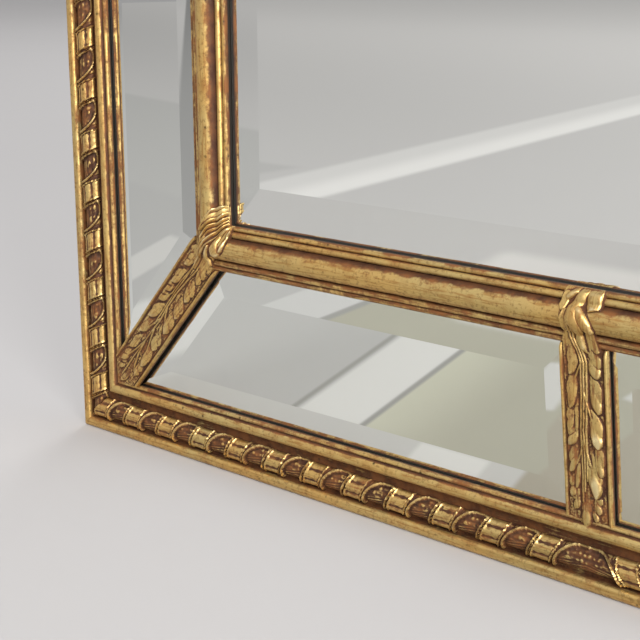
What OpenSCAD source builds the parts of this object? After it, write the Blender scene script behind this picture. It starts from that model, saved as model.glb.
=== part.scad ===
// Gilt wall mirror with a border of bevelled plates.
// X runs along the width, Z up, and the front faces -Y.
// The origin is the centre of the rear face, Y = 0.
// Sections are drawn with u inward from the outer edge and f forward from the rear face.

/* [Overall size] */
// Width over the outer edges of the frame
frame_w = 838; // [560:1:1400]
// Height over the outer edges of the frame
frame_h = 1092; // [560:1:1900]

/* [Outer frame] */
// Depth from the rear face to the front arris
rail_d = 28; // [26:0.5:45]
// Width of the plain fillet at the outer edge
fillet_w = 7; // [5:0.5:14]
// Width of the bed that holds the ribbon ornament
bed_w = 18.4; // [14:0.2:24]
// Depth of the ribbon bed under the arris
bed_drop = 6.8; // [4:0.2:8]
// Width of the hollow beside the ribbon
hollow_w = 4.6; // [3.5:0.1:8]
// Width of the rounded band at the sight side
band_w = 7.1; // [5:0.1:12]
// Width of the small bead at the sight edge
bead_w = 2.4; // [1.6:0.1:3]
// How far the middle of the small bead lies under the arris
bead_drop = 3.1; // [2.6:0.1:4]
// How far the rounded band stands over the arris
band_rise = 0.8; // [0:0.1:2]
// How far the back of the sight lip lies under the arris
lip_drop = 6.2; // [6:0.1:7.5]
// How far each glass reaches under the lips that hold it
glass_hold = 5; // [3.5:0.5:7]
// Clear space between a glass edge and the wood beside it
edge_clear = 0.6; // [0.3:0.1:1]
// Width of the solid rear edge behind the arris
rear_edge_w = 14; // [10:1:20]

/* [Ribbon ornament] */
// Distance between the middles of two ribbon bands
ribbon_pitch = 33.7; // [26:0.1:44]
// Width of one ribbon band along the bar
ribbon_w = 16; // [12:0.5:22]
// Distance from the corner to the middle of the first band, bottom and top
ribbon_start_wide = 22.5; // [18:0.5:60]
// Distance from the corner to the middle of the first band, left and right
ribbon_start_tall = 33.8; // [18:0.1:60]
// Lean of the ribbon bands
ribbon_lean = 25; // [0:1:35]
// Radius of the round bar under the ribbon
bar_r = 7.6; // [6:0.1:8]
// Radius over the ribbon bands
ribbon_r = 8.9; // [8.5:0.1:9.5]
// Radius of each of the three reeds on the bar
reed_r = 2.6; // [1.5:0.1:3]

/* [Border glass] */
// Visible width of the border of glass
border_w = 96; // [70:1:130]
// Rise of the border from the outer frame to the inner moulding
border_rise = 13; // [8:0.5:16]
// Thickness of the border glass
glass_t = 4; // [3:0.5:5]
// Thickness left at the bevelled edges of the border glass
glass_edge_t = 2; // [1:0.1:2.4]
// Width of the bevel on the border glass
bevel_w = 22; // [12:1:26]
// Clear space between a lip and the bevel under it
glass_gap = 0.2; // [0.1:0.05:0.4]

/* [Centre glass] */
// Thickness of the centre glass
centre_t = 5; // [4:0.5:6]
// Thickness left at the bevelled edges of the centre glass
centre_edge_t = 2; // [1.5:0.1:3]
// Width of the bevel on the centre glass
centre_bevel_w = 30; // [15:1:40]
// Thickness of the board behind the centre glass
centre_back_t = 3; // [2:0.5:4]

/* [Inner moulding] */
// Diameter of the large round of the inner moulding
torus_d = 14.6; // [12:0.2:18]
// Width of the two outer beads together
outer_beads_w = 7.5; // [6:0.1:10]
// Width of the two inner beads together
inner_beads_w = 7.2; // [6:0.1:10]
// Height of the sight lip of the inner moulding over its centre glass
inner_lip_t = 4; // [3:0.1:6]
// Rise of the centre glass over the lip that holds the border glass
centre_rise = 1; // [0.6:0.1:3]
// Height of the middle of the large round over the centre glass
torus_rise = 2.2; // [1.6:0.1:4]

/* [Dividing strips] */
// Width of a dividing strip
strip_w = 28; // [22:0.5:36]
// Height of a strip over the glass beside it
strip_t = 4.4; // [3.5:0.1:6]
// Width of the plain fillet along each edge of a strip
strip_fillet_w = 2.6; // [1.5:0.1:4]
// Depth of the tray between the fillets
tray_t = 1.2; // [0.6:0.1:2]
// Width of the tongue that passes between two glasses
tongue_w = 6; // [4:0.5:8]
// Clear space on each side of the tongue
tongue_clear = 1; // [0.6:0.1:2]
// Clear space between a strip and the glass under it
strip_gap = 0.12; // [0.08:0.01:0.3]

/* [Leaf ornament] */
// Height of the leaf relief over its thin ground
leaf_t = 3.4; // [2:0.1:5]
// Thickness of the thin ground of the leaf
leaf_ground_t = 0.6; // [0.4:0.1:1]
// Thickness of the leaf stem where it folds over the inner moulding
wrap_t = 1.3; // [0.8:0.1:2]
// Width of the leaf stem where it folds over the inner moulding
wrap_w = 22; // [14:1:26]

/* [Ground and back] */
// Clear space between the ground boards and the outer frame
ground_clear = 0.3; // [0.2:0.1:0.6]
// Height of the level seat of the inner moulding over the rear face
seat_f = 29.5; // [26:0.5:31]
// Thickness of the back board
back_t = 3; // [2:0.5:4]
// Clear space round the back board
back_clear = 0.5; // [0.3:0.1:1]

/* [Fixings] */
// Thickness of the corner splines of the ground
spline_t = 4; // [3:0.5:6]
// Length of the corner splines along the mitre
spline_l = 60; // [40:1:90]
// Width of the corner splines across the mitre
spline_w = 36; // [24:1:50]
// Height of the V nails in the corners of the outer frame
nail_h = 12; // [8:1:16]
// Thickness of the V nails
nail_t = 0.8; // [0.6:0.1:1.2]
// Width of a frame clip along the rail
clip_w = 16; // [10:1:24]
// Length of a frame clip across the rail
clip_l = 34; // [28:1:36]
// Thickness of a frame clip
clip_t = 1.2; // [0.8:0.1:1.6]
// Shank radius of the wood screws
screw_r = 1.5; // [1.2:0.1:2]
// Head radius of the wood screws
screw_head_r = 3; // [2.6:0.1:3.6]
// Length of the wood screws of the frame clips
clip_screw_l = 13; // [8:1:15]
// Length of the back board screws
back_screw_l = 12; // [8:1:15]
// Length of a glazing point
point_l = 12; // [9:1:16]
// Thickness of a glazing point
point_t = 0.8; // [0.5:0.1:1.2]

/* [Hangers] */
// Distance from the side edge of the frame to a hanger
hanger_in = 70; // [55:1:120]
// Distance from the top edge of the frame to the hanger rings
hanger_down = 260; // [120:1:300]
// Width of a hanger strap
strap_w = 14; // [10:0.5:18]
// Length of a hanger strap below its ring
strap_l = 46; // [36:1:60]
// Thickness of a hanger strap
strap_t = 1; // [0.8:0.1:1.5]
// Wire radius of a hanger ring
wire_r = 1.2; // [1:0.1:1.6]
// Clear space between a strap and the side of its ring
ring_side = 2.3; // [1.5:0.1:6]
// Length of the straight legs of a hanger ring
ring_leg = 4; // [2:0.5:10]
// Radial clearance of the ring in its strap
ring_fit = 0.06; // [0.02:0.01:0.1]
// Clear space between the ring and the strap or board behind it
ring_clear = 0.3; // [0.2:0.1:0.6]
// Radius of a wall bumper
bumper_r = 7; // [4:0.5:10]
// Height of a wall bumper
bumper_h = 6; // [6:0.5:10]

/* [Hidden] */
SIDES = ["bottom", "left", "top", "right"];
HALVES = [["left", "right"], ["top", "bottom"], ["right", "left"], ["bottom", "top"]];
CORNERS = ["bottom_left", "top_left", "top_right", "bottom_right"];
$fn = 48;
eps = 0.01;
far = 400;
tall = 100;

// Places across the section, measured inward from the outer edge.
bed_u = fillet_w;
hollow_u = bed_u + bed_w;
band_u = hollow_u + hollow_w;
bead_u = band_u + band_w;
sight_u = bead_u + bead_w;
rebate_u = sight_u - glass_hold - edge_clear;
inner_u = sight_u + border_w;
torus_u = inner_u + outer_beads_w;
inner_bead_u = torus_u + torus_d;
centre_u = inner_bead_u + inner_beads_w;
centre_rebate_u = centre_u - glass_hold - edge_clear;
foot_u = inner_u + glass_hold + edge_clear;

// Heights forward of the rear face.
bed_f = rail_d - bed_drop;
lip_f = rail_d - lip_drop;
cant = atan(border_rise / border_w);
hip = atan(border_rise / border_w / sqrt(2));
bevel_a = atan((glass_t - glass_edge_t) / bevel_w);
edge_fall = (glass_t - glass_edge_t) * (1 - glass_hold / bevel_w);
glass_f = lip_f - glass_gap + edge_fall;
function glass_face(u) = glass_f + (u - sight_u) * tan(cant);
function ground_face(u) = glass_face(u) - glass_t / cos(cant);
foot_rise = 0.2;
inner_lip_f = glass_face(inner_u) - edge_fall + glass_gap + foot_rise;
centre_drop = centre_t - centre_edge_t;
centre_face = inner_lip_f + centre_rise;
centre_back_f = centre_face - centre_t;
centre_lip_f = centre_face - centre_drop * (1 - glass_hold / centre_bevel_w) + glass_gap;
torus_f = centre_face + torus_rise;
tongue_gap = tongue_w / 2 + tongue_clear;
bevel_fall = glass_t - glass_edge_t;
ring_r = strap_w / 2 + ring_side + wire_r;
ring_y = strap_t + ring_clear + wire_r;
hanger_x = frame_w / 2 - hanger_in;
hanger_z = frame_h / 2 - hanger_down;
strap_screws = [-strap_l * 0.5, -strap_l * 0.84];
hanger_screw_l = 14;
spline_mid = (rebate_u + centre_rebate_u) / 2;
spline_f = back_t + 5;
nail_places = [[rear_edge_w * 0.7, 0], [rear_edge_w + 10, back_t]];
back_screw_u = (rear_edge_w + rebate_u) / 2;
clip_mid_u = rebate_u + ground_clear / 2;
clip_screw_u = clip_l / 2 - 5.5;
clip_reach = 0.24;
screw_reach = [-0.36, -0.12, 0.12, 0.36];
point_reach = [-0.3, 0, 0.3];
bumper_in = 30;

function is_wide(s) = s % 2 == 0;
function side_len(s) = is_wide(s) ? frame_w : frame_h;
function side_half(s) = is_wide(s) ? frame_h / 2 : frame_w / 2;

// A side seen from the front: x along it, y inward from its outer edge, z forward.
module on_side(s) {
    rotate([0, 90 * s, 0])
        translate([0, 0, -side_half(s)])
            rotate([90, 0, 0])
                children();
}

// A corner seen from the front: x and y inward from its two outer edges, z forward.
module at_corner(c) {
    mirror([c >= 2 ? 1 : 0, 0, 0])
        mirror([0, 0, c == 1 || c == 2 ? 1 : 0])
            translate([-frame_w / 2, 0, -frame_h / 2])
                rotate([90, 0, 0])
                    children();
}

// The diagonal of a corner: x inward along the ridge of the border, z square to it.
module on_ridge() {
    translate([sight_u, sight_u, glass_f])
        rotate([0, 0, 45])
            rotate([0, -hip, 0])
                children();
}

// The middle of a side: y inward up the slope of the border, z square to the glass.
module on_slope() {
    translate([0, sight_u, glass_f])
        rotate([cant, 0, 0])
            children();
}

// A section drawn in u and f, run along a side of the given length.
module run(len) {
    rotate([90, 0, 90])
        translate([0, 0, -len / 2])
            linear_extrude(len)
                children();
}

// Cuts a run to the mitred shape of its side, between two distances from the edge.
module mitred(s, from_u, to_u) {
    half = side_len(s) / 2;
    intersection() {
        children();
        translate([0, 0, -50])
            linear_extrude(150)
                polygon([[-half + from_u, from_u], [half - from_u, from_u],
                         [half - to_u, to_u], [-half + to_u, to_u]]);
    }
}

// Section of the outer frame.
module rail_section() {
    round_r = 2.5;
    small_r = 1.2;
    lip_back = lip_f - (sight_u - rebate_u) * tan(cant + bevel_a);
    band_r = band_w / 2;
    band_f = rail_d + band_rise - band_r;
    bead_f = rail_d - bead_drop;
    bead_r = bead_w / 2;
    difference() {
        union() {
            polygon([[0, 0], [rear_edge_w, 0], [rear_edge_w, back_t], [rebate_u, back_t],
                     [rebate_u, lip_back], [sight_u, lip_f], [sight_u, bed_f + 2],
                     [band_u + eps, bed_f + 2], [hollow_u, bed_f], [0, bed_f]]);
            square([fillet_w, rail_d - round_r]);
            translate([round_r, bed_f - 1])
                square([fillet_w - round_r - small_r, rail_d - bed_f + 1]);
            translate([round_r, rail_d - round_r])
                circle(round_r);
            translate([fillet_w - small_r, rail_d - small_r])
                circle(small_r);
            translate([fillet_w - small_r - 1, bed_f - 1])
                square([small_r + 1, rail_d - small_r - bed_f + 1]);
            translate([hollow_u, bed_f - 1])
                square([hollow_w + eps, band_f - bed_f + 1]);
            translate([band_u, bed_f])
                square([band_w, band_f - bed_f]);
            translate([band_u + band_r, band_f])
                circle(band_r);
            translate([bead_u, lip_f])
                square([bead_w, bead_f - lip_f]);
            translate([bead_u + bead_r, bead_f])
                circle(bead_r);
        }
        translate([hollow_u, band_f])
            circle(min(hollow_w - 0.4, band_f - bed_f - 0.1));
    }
}

// Section of the inner moulding: two beads, the large round, two beads and the lip.
module inner_section() {
    bead_a_r = outer_beads_w * 0.23;
    bead_b_r = outer_beads_w * 0.25;
    bead_c_r = inner_beads_w * 0.27;
    bead_d_r = inner_beads_w * 0.2;
    torus_r = torus_d / 2;
    foot_top = torus_f - 2;
    lip_back = centre_lip_f - (glass_hold + edge_clear) * centre_drop / centre_bevel_w;
    union() {
        polygon([[inner_u, inner_lip_f], [foot_u, inner_lip_f + foot_rise], [foot_u, seat_f],
                 [centre_rebate_u, seat_f], [centre_rebate_u, lip_back],
                 [centre_u, centre_lip_f], [centre_u, centre_lip_f + inner_lip_t - 1],
                 [inner_bead_u, foot_top + 1.5], [torus_u, foot_top + 1.5],
                 [torus_u, inner_lip_f + 2.5], [inner_u, inner_lip_f + 2.5]]);
        translate([inner_u + bead_a_r, inner_lip_f + 2.6])
            circle(bead_a_r);
        translate([torus_u - bead_b_r - 0.4, inner_lip_f + 3.9])
            circle(bead_b_r);
        translate([inner_u + 2 * bead_a_r - 0.6, inner_lip_f + 1])
            square([outer_beads_w - 2 * bead_a_r + 0.6 + eps, 2.6]);
        translate([torus_u + torus_r, torus_f])
            circle(torus_r);
        translate([inner_bead_u + bead_c_r + 0.2, centre_lip_f + inner_lip_t + 1])
            circle(bead_c_r);
        translate([inner_bead_u - 1, centre_lip_f])
            square([2 * bead_c_r + 1.2, inner_lip_t + 1]);
        translate([centre_u - bead_d_r, centre_lip_f + inner_lip_t - 0.3])
            circle(bead_d_r);
    }
}

// A glass with a bevel along every edge, lying on z = 0.
module bevelled_glass(pts, t, edge_t, bevel) {
    hull() {
        linear_extrude(edge_t)
            polygon(pts);
        linear_extrude(t)
            offset(delta = -bevel)
                polygon(pts);
    }
}

// Colours of the finishes.
module gold() {
    color([0.72, 0.58, 0.33])
        children();
}
module pine() {
    color([0.76, 0.6, 0.4])
        children();
}
module silvered() {
    color([0.77, 0.76, 0.75])
        children();
}
module steel() {
    color([0.7, 0.7, 0.68])
        children();
}
module brassed() {
    color([0.76, 0.62, 0.34])
        children();
}

// A screw driven towards +z from z = 0, with a countersunk flush head.
module screw(len, shank_r, head_r) {
    cylinder(h = head_r - shank_r, r1 = head_r, r2 = shank_r);
    cylinder(h = len - 2, r = shank_r);
    translate([0, 0, len - 2 - eps])
        cylinder(h = 2, r1 = shank_r, r2 = 0.2);
}

// The hole that a screw fills.
module screw_hole(len, shank_r, head_r) {
    grow = 0.05;
    translate([0, 0, -eps])
        cylinder(h = head_r - shank_r + grow, r1 = head_r + grow, r2 = shank_r + grow);
    translate([0, 0, -1])
        cylinder(h = len + 1.3, r = shank_r + grow);
}

// V nails at both ends of a side.
module nails(s) {
    for (m = [0, 1], p = nail_places) {
        mirror([m, 0, 0])
            translate([p[0] - side_len(s) / 2, p[0], p[1]])
                rotate([0, 0, 45])
                    linear_extrude(nail_h)
                        polygon([[0, 0], [-4, 3.4], [-4 - 1.6 * nail_t, 3.4], [-1.6 * nail_t, 0],
                                 [-4 - 1.6 * nail_t, -3.4], [-4, -3.4]]);
    }
}

// Clip plates on a side, grown all round by the given amount.
module clip_plates(s, grow) {
    for (k = [-1, 1]) {
        translate([k * clip_reach * side_len(s) - clip_w / 2 - grow,
                   clip_mid_u - clip_l / 2 - grow, back_t])
            cube([clip_w + 2 * grow, clip_l + 2 * grow, clip_t + grow]);
    }
}

// Places the children at each clip screw of a side.
module at_clip_screws(s) {
    for (k = [-1, 1], m = [-1, 1]) {
        translate([k * clip_reach * side_len(s), clip_mid_u + m * clip_screw_u, back_t])
            children();
    }
}

// Places the children at each back board screw of a side.
module at_back_screws(s) {
    for (k = screw_reach) {
        translate([k * side_len(s), back_screw_u, 0])
            children();
    }
}

// Places the children at each hanger screw, pointing into the frame.
module at_strap_screws(sx) {
    for (z = strap_screws) {
        translate([sx * hanger_x, strap_t, hanger_z + z])
            rotate([90, 0, 0])
                children();
    }
}

// Places the children at each glazing point of a side.
module at_points(s) {
    inner_len = side_len(s) - 2 * centre_rebate_u;
    for (k = point_reach) {
        translate([k * inner_len, centre_rebate_u, centre_back_f - centre_back_t - point_t])
            children();
    }
}

// A pointed flat steel point, its tip in the wood at -y.
module glazing_point(grow) {
    linear_extrude(point_t + grow)
        polygon([[-3 - grow, point_l * 0.4], [0, -point_l * 0.6 - grow], [3 + grow, point_l * 0.4]]);
}

module corner_spline(grow) {
    translate([spline_mid, spline_mid, spline_f - grow])
        rotate([0, 0, 45])
            translate([-spline_l / 2 - grow, -spline_w / 2 - grow, 0])
                cube([spline_l + 2 * grow, spline_w + 2 * grow, spline_t + 2 * grow]);
}

module outer_rail(s) {
    gold() {
        on_side(s) {
            difference() {
                mitred(s, 0, sight_u)
                    run(side_len(s))
                        rail_section();
                nails(s);
                clip_plates(s, 0.1);
                at_clip_screws(s)
                    screw_hole(clip_screw_l, screw_r, screw_head_r);
                at_back_screws(s)
                    screw_hole(back_screw_l, screw_r, screw_head_r);
            }
        }
    }
}

// Bar of three reeds that lies in the ribbon bed.
module reed_section() {
    mid_u = bed_u + bed_w / 2;
    intersection() {
        union() {
            translate([mid_u, bed_f])
                circle(bar_r - 0.9);
            for (a = [42, 90, 138]) {
                translate([mid_u + (bar_r - 1.9) * cos(a), bed_f + (bar_r - 1.9) * sin(a)])
                    circle(reed_r);
            }
        }
        translate([bed_u, bed_f])
            square([bed_w, bed_w]);
    }
}

module band_section() {
    intersection() {
        translate([bed_u + bed_w / 2, bed_f])
            circle(ribbon_r);
        translate([bed_u, bed_f])
            square([bed_w, bed_w]);
    }
}

// Slanting slabs that cut the band section into single ribbon bands, on one half of a side.
module band_slabs(s) {
    half = side_len(s) / 2;
    start = is_wide(s) ? ribbon_start_wide : ribbon_start_tall;
    lean = tan(ribbon_lean) * bed_w / 2;
    linear_extrude(tall) {
        for (x = [start : ribbon_pitch : half - lean]) {
            x0 = x - half - ribbon_w / 2;
            x1 = min(x0 + ribbon_w, -lean - 0.5);
            polygon([[x0 - lean, bed_u], [x1 - lean, bed_u],
                     [x1 + lean, hollow_u], [x0 + lean, hollow_u]]);
        }
    }
}

module ribbon_bar(s) {
    gold() {
        on_side(s) {
            mitred(s, bed_u, hollow_u) {
                union() {
                    run(side_len(s))
                        reed_section();
                    intersection() {
                        run(side_len(s))
                            band_section();
                        for (m = [0, 1]) {
                            mirror([m, 0, 0])
                                band_slabs(s);
                        }
                    }
                }
            }
        }
    }
}

module inner_moulding(s) {
    gold() {
        on_side(s) {
            mitred(s, inner_u, centre_u)
                run(side_len(s))
                    inner_section();
        }
    }
}

module ground_board(s) {
    out_u = rebate_u + ground_clear;
    pine() {
        difference() {
            on_side(s) {
                difference() {
                    mitred(s, out_u, centre_rebate_u)
                        run(side_len(s))
                            polygon([[out_u, back_t], [centre_rebate_u, back_t],
                                     [centre_rebate_u, seat_f], [foot_u, seat_f],
                                     [foot_u, ground_face(foot_u)], [out_u, ground_face(out_u)]]);
                    clip_plates(s, 0.1);
                    at_clip_screws(s)
                        screw_hole(clip_screw_l, screw_r, screw_head_r);
                    at_points(s)
                        translate([0, 0, -0.05])
                            glazing_point(0.1);
                    for (m = [0, 1]) {
                        mirror([m, 0, 0])
                            translate([-side_len(s) / 2, 0, 0])
                                corner_spline(0.05);
                    }
                }
            }
            if (!is_wide(s)) {
                at_strap_screws(s == 1 ? -1 : 1)
                    screw_hole(hanger_screw_l, screw_r, screw_head_r);
            }
        }
    }
}

// A border glass: k is 0 for the first half of its side and 1 for the second.
module border_glass(s, k) {
    half = side_len(s) / 2;
    y0 = -glass_hold / cos(cant);
    y1 = (border_w + glass_hold - glass_t * sin(cant)) / cos(cant);
    cut = tongue_gap * sqrt(2) - half + sight_u;
    silvered() {
        on_side(s) {
            mirror([k, 0, 0])
                on_slope()
                    translate([0, 0, -glass_t])
                        bevelled_glass([[cut + y0 * cos(cant), y0], [-tongue_gap, y0],
                                        [-tongue_gap, y1], [cut + y1 * cos(cant), y1]],
                                       glass_t, glass_edge_t, bevel_w);
        }
    }
}

// A dividing strip along x: a cap with a tray between two fillets, and a tongue below.
module strip_bar(len, under, tongue_bottom) {
    difference() {
        union() {
            translate([-20, -strip_w / 2, under])
                cube([len + 40, strip_w, strip_t - under]);
            translate([-20, -tongue_w / 2, tongue_bottom])
                cube([len + 40, tongue_w, strip_t - tongue_bottom - 1]);
        }
        translate([-21, strip_fillet_w - strip_w / 2, strip_t - tray_t])
            cube([len + 42, strip_w - 2 * strip_fillet_w, tray_t + 1]);
    }
}

module middle_strip(s) {
    under = strip_gap - bevel_fall * max(0, 1 - (strip_w / 2 - tongue_gap) / bevel_w);
    gold() {
        on_side(s) {
            intersection() {
                on_slope()
                    rotate([0, 0, 90])
                        strip_bar(border_w, under, -glass_t);
                translate([-strip_w, sight_u, 0])
                    cube([2 * strip_w, border_w, tall]);
            }
        }
    }
}

// Height of the glass beside a ridge, at the distance q from it.
function ridge_glass(q) =
    -q * tan(cant) / sqrt(2) - bevel_fall * max(0, 1 - (q - tongue_gap) / bevel_w);

module corner_strip(c) {
    end_q = min(strip_w / 2, tongue_gap + bevel_w);
    under = strip_gap + max(ridge_glass(tongue_gap), ridge_glass(end_q));
    ground_ridge = -glass_t / cos(cant) * cos(hip);
    reach = inner_u + strip_w;
    gold() {
        at_corner(c) {
            intersection() {
                on_ridge()
                    strip_bar((border_w + strip_w) * sqrt(2), under, ground_ridge);
                linear_extrude(tall)
                    polygon([[sight_u, sight_u], [reach, sight_u], [reach, inner_u],
                             [inner_u, inner_u], [inner_u, reach], [sight_u, reach]]);
            }
        }
    }
}

// Leaf relief. Every lobe is a dome: place along, place across, half length, half width, lean, share.
LOBES = concat(
    [[0.05, 0, 7, 4.4, 0, 0.7]],
    [for (k = [0 : 3], m = [-1, 1]) [0.16 + 0.2 * k, m * 6.2, 12, 3.1, m * 20, 1 - 0.06 * k]],
    [for (k = [0 : 3], m = [-1, 1]) [0.25 + 0.2 * k, m * 3.4, 10, 1.6, m * 12, 0.75]]);

function dome(x, y, l, len) =
    let (dx = x - l[0] * len, dy = y - l[1])
    let (p = dx * cos(l[4]) - dy * sin(l[4]), q = dx * sin(l[4]) + dy * cos(l[4]))
    l[5] * sqrt(max(0, 1 - p * p / l[2] / l[2] - q * q / l[3] / l[3]));

function stem(x, y, len) = 0.62 * sqrt(max(0, 1 - y * y / 2.2)) * min(1, (len - x) / 20 + 0.4);

function relief(x, y, len) =
    leaf_ground_t + leaf_t * max(concat([for (l = LOBES) dome(x, y, l, len)], [stem(x, y, len)]));

// A thin strip that carries the leaf relief, its tip at x = 0.
module leaf_strip(len, w) {
    nx = 30;
    ny = 12;
    row = ny + 1;
    n = (nx + 1) * row;
    top = [for (i = [0 : nx], j = [0 : ny])
        let (x = len * i / nx, y = w * (j / ny - 0.5)) [x, y, relief(x, y, len)]];
    base = [for (m = [-0.5, 0.5], i = [0 : nx]) [len * i / nx, m * w, 0]];
    polyhedron(points = concat(top, base), faces = concat(
        [for (i = [0 : nx - 1], j = [0 : ny - 1], a = [i * row + j]) [a, a + 1, a + row + 1]],
        [for (i = [0 : nx - 1], j = [0 : ny - 1], a = [i * row + j]) [a, a + row + 1, a + row]],
        [for (i = [0 : nx - 1]) [i * row, i * row + row, n + i + 1, n + i]],
        [for (i = [0 : nx - 1], b = [n + nx + 1 + i]) [i * row + row + ny, i * row + ny, b, b + 1]],
        [for (i = [0 : nx - 1]) [n + i, n + i + 1, n + nx + i + 2, n + nx + i + 1]],
        [for (j = [0 : ny - 1]) [j + 1, j, n]],
        [for (j = [0 : ny - 1]) [nx * row + j, nx * row + j + 1, n + nx]],
        [[n + nx + 1, ny, n], [nx * row + ny, n + 2 * nx + 1, n + nx]]));
}

// Section of the leaf stem where it folds over the inner moulding.
module wrap_section() {
    torus_r = torus_d / 2;
    difference() {
        intersection() {
            union() {
                translate([torus_u + torus_r, torus_f])
                    circle(torus_r + wrap_t);
                translate([inner_u, inner_lip_f + 4])
                    square([outer_beads_w + 2, 3.2]);
                translate([torus_u + torus_r, torus_f])
                    square([torus_r + inner_beads_w * 0.6, 3.6]);
            }
            translate([inner_u, inner_lip_f + 4])
                square([centre_u - inner_u - 2, 30]);
        }
        inner_section();
    }
}

module middle_leaf(s) {
    gold() {
        on_side(s) {
            on_slope()
                translate([0, 1, strip_t - tray_t])
                    rotate([0, 0, 90])
                        leaf_strip(border_w / cos(cant) - 2.4, strip_w - 2 * strip_fillet_w - 0.8);
            run(wrap_w)
                wrap_section();
        }
    }
}

module corner_leaf(c) {
    half_w = strip_w / 2 - strip_fillet_w - 0.4;
    gold() {
        at_corner(c) {
            on_ridge()
                translate([half_w + 1, 0, strip_t - tray_t])
                    leaf_strip(border_w * sqrt(2) / cos(hip) - half_w - 1.6, 2 * half_w);
            intersection() {
                for (m = [0, 1]) {
                    mirror([m, -m, 0])
                        intersection() {
                            translate([far / 2, 0, 0])
                                run(far)
                                    wrap_section();
                            linear_extrude(tall)
                                polygon([[0, 0], [far, 0], [far, far]]);
                        }
                }
                rotate([0, 0, 45])
                    translate([0, -wrap_w / 2, 0])
                        cube([far, wrap_w, tall]);
            }
        }
    }
}

function window_w() = frame_w - 2 * (centre_u - glass_hold);
function window_h() = frame_h - 2 * (centre_u - glass_hold);

module centre_glass() {
    w = window_w() / 2;
    h = window_h() / 2;
    silvered() {
        rotate([90, 0, 0])
            translate([0, 0, centre_back_f])
                bevelled_glass([[-w, -h], [w, -h], [w, h], [-w, h]],
                               centre_t, centre_edge_t, centre_bevel_w);
    }
}

module centre_backing() {
    color([0.55, 0.4, 0.27]) {
        translate([-window_w() / 2, -centre_back_f, -window_h() / 2])
            cube([window_w(), centre_back_t, window_h()]);
    }
}

module glazing_points() {
    steel() {
        for (s = [0 : 3]) {
            on_side(s)
                at_points(s)
                    glazing_point(0);
        }
    }
}

module back_board() {
    w = frame_w / 2 - rear_edge_w - back_clear;
    h = frame_h / 2 - rear_edge_w - back_clear;
    color([0.45, 0.32, 0.22]) {
        difference() {
            translate([-w, -back_t, -h])
                cube([2 * w, back_t, 2 * h]);
            for (s = [0 : 3]) {
                on_side(s)
                    at_back_screws(s)
                        screw_hole(back_screw_l, screw_r, screw_head_r);
            }
            for (sx = [-1, 1]) {
                at_strap_screws(sx)
                    screw_hole(hanger_screw_l, screw_r, screw_head_r);
            }
        }
    }
}

module back_screws() {
    brassed() {
        for (s = [0 : 3]) {
            on_side(s)
                at_back_screws(s)
                    screw(back_screw_l, screw_r, screw_head_r);
        }
    }
}

module corner_splines() {
    pine() {
        for (c = [0 : 3]) {
            at_corner(c)
                corner_spline(0);
        }
    }
}

module corner_nails() {
    steel() {
        for (s = [0, 2]) {
            on_side(s)
                nails(s);
        }
    }
}

module frame_clips() {
    steel() {
        for (s = [0 : 3]) {
            on_side(s) {
                difference() {
                    clip_plates(s, 0);
                    at_clip_screws(s)
                        screw_hole(clip_screw_l, screw_r, screw_head_r);
                }
            }
        }
    }
}

module clip_screws() {
    steel() {
        for (s = [0 : 3]) {
            on_side(s)
                at_clip_screws(s)
                    screw(clip_screw_l, screw_r, screw_head_r);
        }
    }
}

// A strap of folded brass with the barrel of its ring at the top.
module hanger_strap(sx) {
    barrel_r = wire_r + ring_fit + strap_t;
    brassed() {
        difference() {
            translate([sx * hanger_x - strap_w / 2, 0, hanger_z]) {
                union() {
                    translate([0, 0, -strap_l + strap_w / 2])
                        cube([strap_w, strap_t, strap_l - strap_w / 2]);
                    translate([strap_w / 2, strap_t, -strap_l + strap_w / 2])
                        rotate([90, 0, 0])
                            cylinder(h = strap_t, r = strap_w / 2);
                    translate([0, ring_y, 0])
                        rotate([0, 90, 0])
                            cylinder(h = strap_w, r = barrel_r);
                }
            }
            translate([sx * hanger_x - strap_w, ring_y, hanger_z])
                rotate([0, 90, 0])
                    cylinder(h = 2 * strap_w, r = wire_r + ring_fit);
            at_strap_screws(sx)
                screw_hole(hanger_screw_l, screw_r, screw_head_r);
        }
    }
}

// A ring of bent wire that hangs from its strap.
module hanger_ring(sx) {
    brassed() {
        translate([sx * hanger_x, ring_y, hanger_z]) {
            rotate([0, 90, 0])
                cylinder(h = 2 * ring_r, r = wire_r, center = true);
            for (m = [-1, 1]) {
                translate([m * ring_r, 0, 0])
                    sphere(wire_r);
                translate([m * ring_r, 0, -ring_leg])
                    cylinder(h = ring_leg, r = wire_r);
            }
            translate([0, 0, -ring_leg])
                rotate([90, 180, 0])
                    rotate_extrude(angle = 180)
                        translate([ring_r, 0])
                            circle(wire_r);
        }
    }
}

module hanger_screws() {
    brassed() {
        for (sx = [-1, 1]) {
            at_strap_screws(sx)
                screw(hanger_screw_l, screw_r, screw_head_r);
        }
    }
}

module wall_bumpers() {
    color([0.2, 0.19, 0.18]) {
        for (sx = [-1, 1], sz = [-1, 1]) {
            translate([sx * (frame_w / 2 - bumper_in), 0, sz * (frame_h / 2 - bumper_in)])
                rotate([-90, 0, 0])
                    cylinder(h = bumper_h, r = bumper_r);
        }
    }
}

for (s = [0 : 3]) {
    outer_rail(s);
    ribbon_bar(s);
    inner_moulding(s);
    ground_board(s);
    middle_strip(s);
    middle_leaf(s);
    corner_strip(s);
    corner_leaf(s);
    for (k = [0, 1]) {
        border_glass(s, k);
    }
}
centre_glass();
centre_backing();
glazing_points();
back_board();
back_screws();
corner_splines();
corner_nails();
frame_clips();
clip_screws();
hanger_strap(-1);  // hanger_strap_left
hanger_strap(1);  // hanger_strap_right
hanger_ring(-1);  // hanger_ring_left
hanger_ring(1);  // hanger_ring_right
hanger_screws();
wall_bumpers();
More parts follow.
